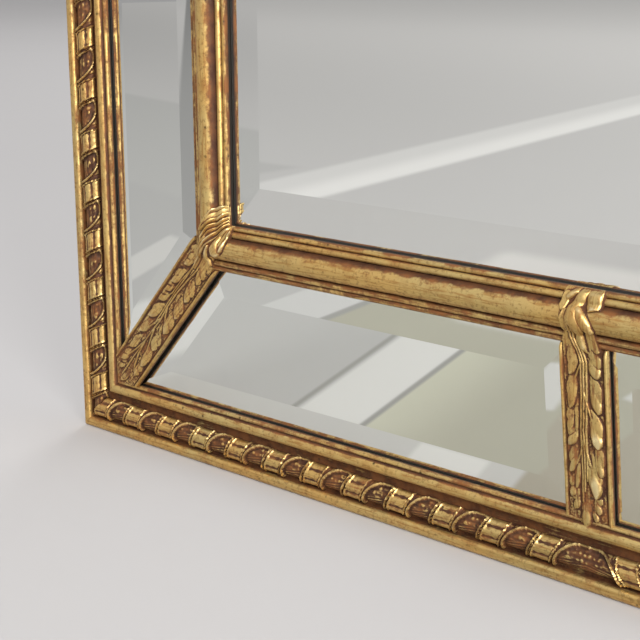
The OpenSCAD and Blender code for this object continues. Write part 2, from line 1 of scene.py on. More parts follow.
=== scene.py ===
from math import atan, cos, hypot, pi, radians, sin, sqrt, tan

import bmesh
import bpy
import numpy as np
from mathutils import Matrix, Vector


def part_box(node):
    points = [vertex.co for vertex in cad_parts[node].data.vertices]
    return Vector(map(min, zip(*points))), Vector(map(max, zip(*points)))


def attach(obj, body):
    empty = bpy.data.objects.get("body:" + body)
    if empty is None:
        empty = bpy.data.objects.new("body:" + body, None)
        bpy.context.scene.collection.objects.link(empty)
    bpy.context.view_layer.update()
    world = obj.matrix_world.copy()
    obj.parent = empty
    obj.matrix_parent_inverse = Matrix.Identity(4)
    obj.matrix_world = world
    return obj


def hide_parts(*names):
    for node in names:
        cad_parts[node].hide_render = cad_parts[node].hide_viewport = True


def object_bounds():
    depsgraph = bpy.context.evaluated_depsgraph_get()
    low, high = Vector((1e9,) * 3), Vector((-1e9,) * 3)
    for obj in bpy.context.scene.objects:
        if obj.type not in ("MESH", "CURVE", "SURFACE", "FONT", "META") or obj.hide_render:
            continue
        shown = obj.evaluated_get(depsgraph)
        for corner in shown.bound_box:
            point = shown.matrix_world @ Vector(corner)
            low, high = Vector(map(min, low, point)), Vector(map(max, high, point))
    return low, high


bl_info = {
    "name": "Gilt Wall Mirror",
    "version": (1, 0, 0),
    "blender": (4, 5, 0),
    "location": "3D View > Sidebar > Mirror",
    "description": "Dresses the frame of a gilt wall mirror with mouldings, ornament, glass and finishes",
    "category": "Object",
}

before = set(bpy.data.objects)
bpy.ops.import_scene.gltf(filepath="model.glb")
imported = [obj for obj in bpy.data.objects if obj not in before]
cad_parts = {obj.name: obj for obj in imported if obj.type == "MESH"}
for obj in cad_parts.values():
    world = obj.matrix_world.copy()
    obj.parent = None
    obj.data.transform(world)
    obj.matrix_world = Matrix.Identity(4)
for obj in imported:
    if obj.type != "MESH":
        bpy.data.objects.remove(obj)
CAD_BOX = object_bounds()

SIDES = ("bottom", "left", "top", "right")
CORNERS = ("bottom_left", "top_left", "top_right", "bottom_right")
PLACES = (("middle", SIDES, False), ("corner", CORNERS, True))
GLASS_HALVES = (("left", "right"), ("top", "bottom"), ("right", "left"), ("bottom", "top"))

# Places across the section in millimetres: u inward from the outer edge, f forward from the rear face.
WIDTH = 1000 * (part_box("outer_rail_right")[1].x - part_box("outer_rail_left")[0].x)
HEIGHT = 1000 * (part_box("outer_rail_top")[1].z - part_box("outer_rail_bottom")[0].z)
BED_U, HOLLOW_U, BAND_U, BEAD_U, SIGHT_U = 7.0, 25.4, 30.0, 37.1, 39.5
REBATE_U, REAR_EDGE, BACK_T = 33.9, 14.0, 3.0
BED_F, LIP_F, LIP_BACK_F = 21.2, 21.8, 20.6
BAND_F, BAND_R, BEAD_F, BEAD_R = 25.25, 3.55, 24.9, 1.2
BORDER_W, BORDER_RISE, GLASS_F = 96.0, 13.0, 23.145
INNER_U, FOOT_U, TORUS_U, INNER_BEAD_U = 135.5, 141.1, 143.0, 157.6
CENTRE_REBATE_U, CENTRE_U, SEAT_F = 159.2, 164.8, 29.5
INNER_LIP_F, CENTRE_LIP_F, TORUS_F, TORUS_R = 35.0, 33.7, 38.2, 7.3
CANT = atan(BORDER_RISE / BORDER_W)
HIP = atan(BORDER_RISE / BORDER_W / sqrt(2))
STRIP_HALF, STRIP_TOP, STRIP_FOOT, TRAY, TONGUE_GAP = 14.0, 3.7, -0.75, 2.5, 4.0
RIBBON_R, CELL_ALONG = 8.2, 7

# The shade attribute runs from 0 on bright gold to 1 in the bole, then to near black and to bare wood.
# Its darkening in hollows, creases and flanks is partly the real brown toning and partly painted shade;
# the near black is partly the black paint of the rebate and partly painted shadow in the gaps at the glass.
NEAR_BLACK, BARE = 2, 3


def smooth(a, b, x):
    """0 where x is under a, 1 where it is over b, and an even slope between."""
    t = np.clip((x - a) / (b - a), 0, 1)
    return t * t * (3 - 2 * t)


def ripple(x, y, seed):
    """Smooth hand-made unevenness between about -1 and 1, the same on every run."""
    total = 0
    for k in range(7):
        turn = seed * 1.7 + k * 2.4
        reach = 1 + 0.55 * k
        wave = reach * (cos(turn) * x + sin(turn) * y) + 3.1 * k + seed
        total = total + np.sin(wave) / (1 + 0.25 * k)
    return total / 3.2


def side_length(side):
    return WIDTH if side % 2 == 0 else HEIGHT


def side_point(side, x, u, f):
    """Points of a side: x along it, u inward, f forward, in millimetres, as places in metres."""
    v = u - side_length(side + 1) / 2
    across, up = ((x, v), (v, -x), (-x, -v), (-v, x))[side]
    return np.stack(np.broadcast_arrays(across, -f, up), 1) * 0.001


def corner_point(corner, a, b, f):
    """Points of a corner: a and b inward from its two outer edges, f forward."""
    x = (a - WIDTH / 2) * (-1 if corner >= 2 else 1)
    z = (b - HEIGHT / 2) * (-1 if corner in (1, 2) else 1)
    return np.stack(np.broadcast_arrays(x, -f, z), 1) * 0.001


def ridge_point(corner, x, y, z):
    """Points on the diagonal of a corner: x inward along the ridge, y across it, z square to it."""
    c, s, r = cos(HIP), sin(HIP), sqrt(0.5)
    a = SIGHT_U + r * (x * c - y - z * s)
    b = SIGHT_U + r * (x * c + y - z * s)
    f = GLASS_F + x * s + z * c
    return corner_point(corner, a, b, f)


def slope_point(side, x, y, z):
    """Points on the border of a side: x along it, y inward up the slope, z square to the glass."""
    c, s = cos(CANT), sin(CANT)
    return side_point(side, x, SIGHT_U + y * c - z * s, GLASS_F + y * s + z * c)


def arc(u, f, r, start, end, steps):
    """Points of an arc in a section, from one angle to another in degrees."""
    turns = np.radians(np.linspace(start, end, steps + 1))
    return [(u + r * cos(t), f + r * sin(t)) for t in turns]


def grid(name, columns, rows, shape):
    """A mesh of columns by rows cells. shape turns numbers from 0 to 1 into places and attributes."""
    bm = bmesh.new()
    bmesh.ops.create_grid(bm, x_segments=columns, y_segments=rows, size=1)
    mesh = bpy.data.meshes.new(name)
    bm.to_mesh(mesh)
    bm.free()
    flat = np.empty(len(mesh.vertices) * 3)
    mesh.vertices.foreach_get("co", flat)
    flat = flat.reshape(-1, 3)
    places, values = shape((flat[:, 0] + 1) / 2, (flat[:, 1] + 1) / 2)
    mesh.vertices.foreach_set("co", places.astype(np.float32).ravel())
    for key, value in values.items():
        layer = mesh.attributes.new(key, "FLOAT", "POINT")
        layer.data.foreach_set("value", np.broadcast_to(value, len(flat)).astype(np.float32))
    return mesh


def crests(height, columns, reach):
    """How far each point of a grid of heights stands above those around it, in millimetres."""
    field = height.reshape(-1, columns + 1)
    soft, width = field, 2 * reach + 1
    for axis in (0, 1):
        wide = np.pad(soft, [(reach, reach) if k == axis else (0, 0) for k in (0, 1)], mode="edge")
        count = soft.shape[axis]
        soft = sum(np.take(wide, range(k, k + count), axis) for k in range(width)) / width
    return (field - soft).ravel()


def closed(mesh, weld=2e-6):
    """Welds a mesh, bridges its long open edges if it has columns, caps its ends and turns it outward."""
    bm = bmesh.new()
    bm.from_mesh(mesh)
    bmesh.ops.remove_doubles(bm, verts=bm.verts, dist=weld)
    column = bm.verts.layers.float.get("column")
    rim = [e for e in bm.edges if e.is_boundary]
    if column:
        sides = [e for e in rim if abs(sum(v[column] for v in e.verts) - 1) > 0.9999]
        bmesh.ops.bridge_loops(bm, edges=sides)
        bm.verts.layers.float.remove(column)
        rim = [e for e in bm.edges if e.is_boundary]
    if rim:
        bmesh.ops.holes_fill(bm, edges=rim, sides=0)
    bmesh.ops.recalc_face_normals(bm, faces=bm.faces)
    if bm.calc_volume(signed=True) < 0:
        bmesh.ops.reverse_faces(bm, faces=bm.faces)
    bm.to_mesh(mesh)
    bm.free()
    return mesh


def piece(mesh, material, body="mirror", replaces=(), sharp=40, extra=()):
    """Makes a mesh a finished piece that rides on a body and stands for its nodes."""
    obj = bpy.data.objects.new(mesh.name, mesh)
    bpy.context.scene.collection.objects.link(obj)
    for m in (material, *extra):
        mesh.materials.append(m)
    mesh.shade_smooth()
    mesh.set_sharp_from_angle(angle=radians(sharp))
    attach(obj, body)
    if replaces:
        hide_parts(*replaces)
    return obj


def run(name, side, section, uneven, seed):
    """A mitred length of a closed section of (u, f, shade) points, slightly uneven on its front."""
    points = np.array(section)
    rows = len(points) - 1
    length = side_length(side)

    def shape(a, b):
        j = b * rows
        steps = np.arange(rows + 1)
        u, f, shade = (np.interp(j, steps, points[:, k]) for k in range(3))
        x = (a - 0.5) * (length - 2 * u)
        from_end = (length / 2 - u) - abs(x)
        free = smooth(2, 14, from_end) * smooth(16, 23, f) * (shade < 1.6)
        f = f + uneven * free * ripple(x / 19, u / 5, seed)
        u = u + 0.6 * uneven * free * ripple(x / 15, f / 4, seed + 3)
        return side_point(side, x, u, f), {"shade": shade, "along": x, "over": u + f}

    return closed(grid(name, int(length / CELL_ALONG), rows, shape))


def split_back(mesh, limit=(NEAR_BLACK + BARE) / 2 - 0.1):
    """Gives the faces that are bare wood the piece's second material."""
    shade = np.empty(len(mesh.vertices), np.float32)
    mesh.attributes["shade"].data.foreach_get("value", shade)
    for face in mesh.polygons:
        if min(shade[v] for v in face.vertices) > limit:
            face.material_index = 1


def rail_section():
    """The outer frame: fillet, ribbon bed, cove, rounded band, bead and sight lip."""
    points = [(0, 0, BARE), (0, 1, BARE), (0, 1.6, 0.7), (0, 14, 0.5), (0, 24, 0.4)]
    points += [(u, f, 0.36) for u, f in arc(3.2, 24.8, 3.2, 180, 90, 10)]
    points += [(u, f, 0.3 + 0.04 * k) for k, (u, f) in enumerate(arc(4.9, 25.9, 2.1, 90, 0, 8))]
    points += [(BED_U, 25.4, 0.85), (BED_U, 23, 1), (BED_U, BED_F, 1), (16, BED_F, 1), (HOLLOW_U, 21.3, 1)]
    points += [(u, f, 0.96) for u, f in arc(HOLLOW_U, BAND_F, 3.95, -90, 0, 10)]
    # The band darkens on its flanks and more on its inner side: partly the brown toning, partly painted shade.
    for k, (u, f) in enumerate(arc(BAND_U + BAND_R, BAND_F, BAND_R, 180, 0, 18)):
        side = abs(cos(pi * k / 18)) ** 3
        points.append((u, f, 0.1 + 0.75 * side + 0.5 * smooth(12, 16, k)))
    for k, (u, f) in enumerate(arc(BEAD_U + BEAD_R, BEAD_F, BEAD_R, 165, 0, 9)):
        points.append((u, f, 1.1 if k < 2 else 0.62))
    # Near black down the lip's face and in the rebate: partly black paint, partly painted shadow of the gap at
    # the glass.
    points += [(SIGHT_U, 24.2, 0.75), (SIGHT_U, 23.1, 0.9), (SIGHT_U, 22.9, NEAR_BLACK), (SIGHT_U, LIP_F, NEAR_BLACK)]
    points += [(REBATE_U, LIP_BACK_F, NEAR_BLACK), (REBATE_U, 19, BARE), (REBATE_U, BACK_T, BARE)]
    points += [(REAR_EDGE, BACK_T, BARE), (REAR_EDGE, 0, BARE), (0, 0, BARE)]
    return points


def inner_section():
    """The inner moulding: two beads, the large round, two beads and the sight lip."""

    def bead(u, f, r, start, end, low, slope, middle, steps=9):
        # Each bead darkens towards its feet: partly the brown toning, partly painted shade.
        turns = enumerate(arc(u, f, r, start, end, steps))
        return [(u, f, low + slope * abs(k - middle)) for k, (u, f) in turns]

    points = [(INNER_U, INNER_LIP_F, NEAR_BLACK), (INNER_U, 35.4, 0.95)]
    points += bead(137.23, 37.45, 1.72, 190, 20, 0.68, 0.07, 4)
    points += [(138.95, 37.2, 1.1)]
    points += bead(140.75, 38.7, 1.85, 205, -15, 0.6, 0.09, 4)
    points += [(142.75, 37.6, 1.1)]
    # The large round darkens on both flanks: partly the brown toning, partly painted shade.
    for k, (u, f) in enumerate(arc(TORUS_U + TORUS_R, TORUS_F, TORUS_R, 184, -2, 32)):
        t = k / 32
        points.append((u, f, 0.2 + 0.85 * smooth(0.4, 0.0, t) ** 1.3 + 0.95 * smooth(0.56, 0.9, t)))
    points += [(INNER_BEAD_U + 0.25, 37.7, 1.15)]
    points += bead(159.75, 38.6, 1.9, 195, -25, 0.22, 0.14, 4.5)
    points += [(161.75, 37.1, 1.15)]
    points += bead(163.35, 37.3, 1.45, 190, 0, 0.24, 0.12, 3, 8)
    # The sight lip darkens to near black: partly black paint, partly painted shadow of the gap at the glass.
    points += [(CENTRE_U, 36.4, 0.9), (CENTRE_U, 35.6, 1.2), (CENTRE_U, 35.4, NEAR_BLACK)]
    points += [(CENTRE_U, CENTRE_LIP_F, NEAR_BLACK), (CENTRE_REBATE_U, 33.1, NEAR_BLACK)]
    points += [(CENTRE_REBATE_U, SEAT_F, BARE), (FOOT_U, SEAT_F, BARE)]
    points += [(FOOT_U, 35.2, NEAR_BLACK), (INNER_U, INNER_LIP_F, NEAR_BLACK)]
    return points


def ribbon_bar(side, sizes):
    """The ribbon-bound reeds: bands with a pearl rim and a double arc rim, and dark cells between."""
    length = side_length(side)
    pitch, lean = 1000 * sizes.ribbon_pitch, tan(sizes.ribbon_lean)
    first = 1000 * (sizes.ribbon_start_wide if side % 2 == 0 else sizes.ribbon_start_tall) - 8
    columns, rows = int(length / 0.62), 46
    mid_u = (BED_U + HOLLOW_U) / 2
    last = int((length / 2 - first) / pitch - 0.3)
    band_end, hood_start, hood_low = 13.4, 16, 2.2

    def shape(a, b):
        turn = pi * b
        u0 = mid_u + 8.3 * np.cos(turn)
        x = (a - 0.5) * (length - 2 * u0)
        along = length / 2 - abs(x)
        t = (along - (u0 - mid_u) * lean - first) / pitch
        cell = np.minimum(np.floor(t), last)
        t = (t - cell) * pitch
        y = (b - 0.5) * pi * RIBBON_R
        wander = 0.3 * ripple(x / 2.3, y / 2.3, 4)
        t0 = np.where(cell < last, np.minimum(t, pitch - t), t) + 0.2 * ripple(cell * 3.7, y / 4, 2)

        # The cell: reeds below, lumps above.
        reeds = 6.0 + 0.7 * np.abs(np.sin((y + 0.25 * (t - 25)) * 1.15 + cell)) ** 0.7
        lumps = 6.2 + 0.55 * smooth(-0.4, 0.9, ripple(x / 1.5, y / 1.9, 13))
        lumps += 0.5 * np.abs(np.sin(y * 0.75 + cell)) ** 0.7
        r = reeds + (lumps - reeds) * smooth(-1.5, 1.5, -y + 1.2 * ripple(cell, cell, 5))

        # The band, and the plain ground beside it and outside the hood.
        groove = np.abs(np.cos((y + 0.9 + 0.3 * np.sin(cell)) * pi / 7.6)) ** 0.75
        waist = smooth(5, 9, t) * smooth(11, 8, t) * smooth(0.9, 0.3, groove)
        lobed = 7.25 + 1.0 * groove + wander * 0.5 - 0.35 * waist
        r = r + (lobed - r) * smooth(0.8, 2.0, t) * smooth(band_end, band_end - 1, t)
        between = smooth(band_end - 0.6, band_end, t) * smooth(hood_start + 0.4, hood_start - 0.2, t)
        r = r + (7.2 + wander - r) * between
        oval = 9.5 * (np.hypot((hood_low - y) / 12.4, (t - 27) / 11) - 1)
        hood = np.where(y < hood_low, oval, hood_start + 0.12 * (y - hood_low) - t)
        outside = smooth(-0.4, 0.6, hood) * smooth(hood_start, hood_start + 1, t)
        r = r + (7.55 + wander - r) * outside
        burnish_and_highlight = 0 * r

        def line(gap, wide, high):
            nonlocal r, burnish_and_highlight
            form = np.clip(1 - (gap / wide) ** 2, 0, 1)
            r = np.where(form > 0, np.maximum(r, high - 1.0 + form**0.5), r)
            burnish_and_highlight = np.maximum(burnish_and_highlight, form)

        line(t0 - 1.35, 0.5, 8.8 + 0.3 * wander)
        line(t0 + 0.3, 0.5, 8.5 + 0.55 * np.sin(y * 2.2 + cell))
        line(t - 13.5 - 0.25 * np.cos(y / 3), 0.5, 8.8 + 0.35 * np.sin(y * 1.7 + 2 * cell))
        line(hood, 0.62, 9.3 + 0.2 * wander)
        edge = np.minimum(turn, pi - turn)
        r = 6.2 + (r - 6.2) * smooth(0.02, 0.5, edge) + 0.6 * smooth(0.25, 0, edge)
        u = mid_u + r * np.cos(turn)
        f = BED_F + r * np.sin(turn)
        x = np.clip(x, u - length / 2, length / 2 - u)
        stand = crests(r, columns, 3)
        # Darker low down, in hollows and where the bar meets its bed, lighter on crests: partly the brown
        # toning, partly painted shade.
        shade = 0.98 - 0.5 * smooth(6.6, 8.3, r) - 0.75 * smooth(0.02, 0.5, stand)
        shade = shade + 0.7 * smooth(-0.02, -0.4, stand) + 0.14 * ripple(x / 2.6, y / 2.6, 8)
        shade = np.maximum(shade, 0.9 * smooth(0.42, 0.12, edge))
        # The rims' burnish: real burnish in the roughness, and a painted highlight where it brightens the
        # colour.
        burnish_and_highlight = (0.3 + 0.25 * wander) * burnish_and_highlight * smooth(7.9, 8.7, r) * smooth(0.1, 0.5, stand)
        values = {"shade": shade, "burnish_and_highlight": burnish_and_highlight, "column": b, "along": x, "over": y}
        return side_point(side, x, u, f), values

    return closed(grid("ribbon_bar_relief_" + SIDES[side], columns, rows, shape))


# Leaf lobes: (along, across) of root and of tip, half width, height and hollowness, in millimetres.
MIDDLE_LOBES = (
    (103, 5.5, 95.5, 9.8, 2.6, 1.6, 0), (91.1, 3.2, 81.8, 9.6, 3.4, 2.3, 0),
    (78.4, 4.2, 62.6, 9.3, 3.1, 2.3, 0), (57.4, 3.8, 43.6, 8.9, 3.7, 3.3, 0),
    (40.4, 6.0, 27.6, 9.6, 2.6, 2.2, 0), (37.5, 1.1, 15.1, 6.9, 4.0, 3.4, 0),
    (96.7, -2.5, 81.4, -7.4, 3.0, 2.2, 0.12), (81.6, -4.5, 62.8, -8.1, 2.7, 2.0, 0),
    (60.5, -6.8, 50, -9.4, 2.1, 1.8, 0.1), (68.6, -2.8, 50.6, -5.3, 1.5, 1.4, 0),
    (51, -4.6, 42, -9.2, 2.6, 2.2, 0), (38.5, -5, 26.8, -9.3, 2.1, 1.9, 0),
    (38.8, -3.0, 17.5, -6.4, 1.7, 1.6, 0), (19.5, -7.3, 12.5, -9.2, 2.2, 1.8, 0),
    (13, -5.3, 5.5, -7.8, 2.0, 1.8, 0.1), (10, -0.9, -3.4, -1.0, 3.2, 2.7, 0),
    (14, 4, 5.5, 7.6, 2.2, 1.7, 0), (8, 2.5, 0.5, 5.4, 2.0, 1.7, 0),
)
MIDDLE_VEINS = tuple(
    ((97, k - 1.2), (88.4, k + 0.6), (70, k + 0.2), (52.5, k - 0.8), (30.3 + 3 * k, k - 0.7),
     (17 + 4 * k, k - 1.2))
    for k in (-1.6, 0, 1.6)
) + (
    ((52, -1), (40, 0.6), (33, 2.6)), ((74, 0), (64, 2.5), (58, 4)),
    ((46, -1.2), (38, -3.2), (31, -6)), ((90, 0), (84, -3), (79, -5)),
)
CORNER_LOBES = (
    (140, -3.5, 129, -8.6, 2.9, 1.9, 0), (123, -3.0, 110, -8.8, 3.2, 2.1, 0),
    (104, -1.8, 92, -9.6, 3.3, 2.0, 0.2), (89, -4.2, 74, -9.2, 3.4, 2.5, 0),
    (66, -1.2, 53.5, -9.2, 3.6, 2.2, 0.3), (51, -5.2, 33.5, -8.8, 3.0, 2.4, 0),
    (31, -5.8, 21.5, -8.6, 2.6, 2.4, 0), (139, 3.5, 130, 7.6, 2.5, 1.7, 0),
    (122, 3.5, 110, 8.6, 2.8, 2.1, 0), (108, 5, 99.5, 9.2, 2.3, 1.9, 0), (98, 4.5, 89.5, 9.2, 2.7, 2.1, 0),
    (85, 3, 70.5, 8.6, 3.0, 2.3, 0), (73, 3.0, 53, 8.2, 3.2, 2.0, 0.3), (48, 3, 34, 8.0, 2.6, 1.8, 0.2),
    (28, 4.6, 18.5, 8.0, 2.4, 1.9, 0), (17.5, 3.6, 11, 6.2, 1.9, 1.7, 0),
    (21, -0.9, 4.2, -1.2, 3.3, 2.0, 0.3), (80, -3, 68, -5.2, 1.6, 1.4, 0),
)
CORNER_VEINS = (
    ((141.2, 0.4), (118.3, 3.0), (102.8, 3.8), (92, 6.8)),
    ((143.6, 0.3), (137, -2.4), (123, -0.9), (104.8, 0.7), (90.8, 0.6), (76.8, -0.5), (65, 0.1)),
    ((142, 1.6), (124, 1.4), (105, 2.2), (88, 2.0), (70, 1.6)),
    ((65, 0.1), (52.3, 0.3), (40.2, 2.3), (24.2, 6.0)), ((65, 0.1), (43.2, 0.5), (29.1, 1.0), (9.5, 1.0)),
    ((50, 0.2), (38.2, -0.8), (26.9, -3.1), (21.6, -5.4)), ((66, -0.4), (56, -2.6), (44, -5.5)),
    ((92, 0.5), (84, -1.8), (79, -4.5)), ((78, 0.2), (66, 3.2), (60, 4.6)),
)
# Folds of the stem over the inner moulding: (along, across, width) of a line, half width, height, hollowness.
MIDDLE_FOLDS = (
    (((133, 3.2, 0.9), (126, 0.5, 1), (119, -2.6, 1.1), (114.5, -2.6, 1.35), (110, 0.5, 1.2),
     (105, 0.3, 0.7), (99, 1.3, 0.6), (92, 2.5, 0.5)), 3.0, 2.3, 0),
    (((119, 0.2, 0.7), (115, 2.8, 1.1), (111.5, 5.6, 1.2), (108.6, 7.4, 0.8)), 2.6, 2.1, 0),
    (((133, 7.8, 1), (127, 8.2, 1.15), (122.5, 8.3, 1), (120, 8.4, 0.7)), 4.4, 2.2, 0),
    (((132, -2.0, 0.8), (128.5, -3.6, 1), (125, -7.2, 0.8)), 1.9, 1.7, 0),
    (((126, -8.4, 0.8), (122, -9.6, 1), (119.5, -9.4, 0.8)), 2.7, 1.6, 0.5),
    (((116.5, -6.6, 0.8), (112, -7.9, 1), (107.5, -7.0, 0.8)), 2.7, 1.7, 0.6),
    (((116, -4.6, 0.8), (109, -5.4, 1), (103, -5.6, 1), (96, -3.0, 0.9), (90, -1.6, 0.8)), 0.8, 1.2, 0),
    (((115, -3.2, 0.8), (108, -3.4, 1), (102, -3.6, 1), (96, -1.2, 0.9), (90, 0.0, 0.8)), 0.8, 1.3, 0),
    (((106, -1.4, 0.8), (101, -1.4, 1), (96, 0.6, 0.9), (90, 1.4, 0.8)), 0.8, 1.3, 0),
)
CORNER_FOLDS = (
    (((132, -2.5, 0.7), (126, -2.6, 0.9), (121, -3.6, 1), (116, -6.6, 1.25), (112.8, -11, 1.3),
     (111.4, -14.4, 1)), 1.9, 2.3, 0),
    (((130, -5.6, 0.7), (124, -8.2, 0.9), (118.5, -11.4, 1), (114, -14.6, 1)), 1.2, 1.9, 0),
    (((129, -4, 0.8), (122, -6.2, 1), (116, -10, 1.3), (112.8, -14, 1)), 2.6, 1.2, 0),
    (((133, 4.2, 0.8), (125, 6.4, 1), (117, 10.3, 1), (112.8, 8.8, 0.8)), 1.0, 2.3, 0),
    (((132, 2.5, 0.8), (124, 4.5, 1), (117, 7.2, 1), (112, 6.4, 0.8), (105, 3.4, 0.7)), 0.65, 1.5, 0),
    (((131.5, 0.8, 0.8), (122.5, 2.4, 1), (115, 4.2, 1), (110, 3.4, 1), (104, 1.5, 0.8), (97, 0.6, 0.7)),
     0.95, 1.9, 0),
    (((128, -0.9, 0.8), (121, -0.6, 1), (115, 1.0, 1), (110, 0, 1), (104, -0.8, 0.8), (97, -1, 0.7)),
     0.7, 1.5, 0),
    (((131, 11.4, 0.8), (125, 15.2, 1), (119.5, 18, 1), (114.5, 16.4, 1), (111.8, 14.4, 0.8)), 1.3, 2.1, 0),
    (((131, 7.8, 0.9), (125, 9.3, 1), (118, 12.8, 1), (113, 13.4, 0.8)), 1.2, 2.3, 0),
    (((130.5, 9.6, 0.8), (124, 12.3, 1), (118, 15.4, 1), (113.5, 15, 0.8)), 2.7, 1.5, 0),
    (((114, 5.2, 0.9), (110.5, 1.8, 1), (107.5, 0.6, 0.9)), 2.0, 1.5, 0.2),
    (((112, 8.2, 0.9), (107, 6.6, 1), (102, 4.6, 0.9)), 1.3, 1.3, 0),
    (((115.5, -1.6, 0.8), (110, -5, 1), (107, -6.6, 1), (104, -9.6, 1), (101, -12.6, 0.9)), 0.85, 1.7, 0),
)
# The outline of each ornament: along, then its two edges across.
MIDDLE_EDGES = (
    (-3.8, -3.4, 1.6), (-2.5, -4.6, 3.0), (0, -8, 7), (1, -11.3, 11.3), (95, -11.3, 11.3),
    (100, -11.2, 9.5), (105, -9.6, 8.4), (109, -9.8, 10.4), (113, -10.2, 8.8), (118, -10.8, 5.4),
    (120, -12, 12.2), (127, -11.4, 12.6), (130.9, -10.2, 11.8),
)
CORNER_EDGES = (
    (0.4, -16, 16), (95, -16, 16), (100, -14.5, 12.5), (104, -12, 9.5), (108, -10.4, 11),
    (110.6, -16.6, 14.6), (113, -17.4, 17.6), (117, -15, 19.6), (120, -13.2, 19.6), (125, -9.8, 17),
    (128, -6.6, 14.6), (130.9, -4.2, 12.6),
)
# The way of the stem over the inner moulding, as (u, f).
STEM = (
    (136.5, 39.9), (139.5, 40.7), (142.3, 41.3), (143.85, 42.0), (145.0, 43.5), (146.6, 44.65),
    (148.4, 45.4), (150.3, 45.65), (152.2, 45.4), (154.0, 44.65), (155.6, 43.5), (156.9, 42.2),
    (158.2, 41.3), (160.5, 41.0), (162.6, 39.8), (164.7, 38.4), (165.35, 36.8), (165.4, 34.0),
)


def lobes(p, q, table):
    """Height of raised leaf lobes, each widest and highest towards its tip."""
    widest = 0.62
    high = np.zeros_like(p)
    for p0, q0, p1, q1, half, rise, hollow in table:
        long = hypot(p1 - p0, q1 - q0)
        s = ((p - p0) * (p1 - p0) + (q - q0) * (q1 - q0)) / long**2
        d = ((p - p0) * (q1 - q0) - (q - q0) * (p1 - p0)) / long
        swell = 0.3 + 0.7 * np.sin(0.5 * pi * np.clip(s / widest, 0, 1))
        point = np.sqrt(np.clip(1 - ((s - widest) / (1 - widest)) ** 2, 0, 1))
        width = 1.04 * half * np.where(s < widest, swell, point)
        width = np.maximum(width * smooth(-0.12, 0.02, s), 1e-3)
        inside = np.clip(1 - (d / width) ** 2, 0, 1)
        form = inside**0.5 * (1 - hollow * smooth(0.2, 0.75, inside * smooth(1.02, 0.8, s)))
        form *= 0.4 + 0.6 * smooth(0, 0.75, s)
        form *= 1 - 0.12 * (1 - hollow) * np.exp(-(d / 0.5) ** 2) * smooth(0.8, 0.3, s)
        high = np.maximum(high, rise * np.where((s > -0.12) & (s < 1), form, 0))
    return high


def lines(p, q, table):
    """Height of raised folds and veins that follow lines of (along, across, width)."""
    high = np.zeros_like(p)
    for line, half, rise, hollow in table:
        best = np.full_like(p, 9.0)
        for a, b in zip(line, line[1:]):
            long = hypot(b[0] - a[0], b[1] - a[1])
            s = np.clip(((p - a[0]) * (b[0] - a[0]) + (q - a[1]) * (b[1] - a[1])) / long**2, 0, 1)
            d = np.hypot(p - a[0] - s * (b[0] - a[0]), q - a[1] - s * (b[1] - a[1]))
            best = np.minimum(best, d / (half * (a[2] + s * (b[2] - a[2]))))
        inside = np.clip(1 - best**2, 0, 1)
        high = np.maximum(high, rise * inside**0.5 * (1 - hollow * smooth(0.25, 0.9, inside)))
    return high


def stem_path():
    """The middle line of an ornament in the section, at even steps, with its square direction."""
    start, lift = -4, 0.15
    along = np.linspace(0, 92, 185)
    c, s, z = cos(CANT), sin(CANT), TRAY + lift
    strip = [(SIGHT_U + m * c - z * s, GLASS_F + m * s + z * c) for m in (start, *along)]
    points = np.array(strip + list(STEM))
    reach = np.concatenate(([0], np.cumsum(np.hypot(*np.diff(points, axis=0).T)))) + start
    m = np.arange(start, reach[-1], 0.25)
    u, f = (np.interp(m, reach, points[:, k]) for k in (0, 1))
    soft = np.hanning(15) / np.hanning(15).sum()
    for way in (u, f):
        eased = np.convolve(np.pad(way, 7, mode="edge"), soft, "valid")
        way[:] = eased * smooth(2, 3, m) + way * smooth(3, 2, m)
    du, df = np.gradient(u), np.gradient(f)
    size = np.hypot(du, df)
    return m, u, f, -df / size, du / size


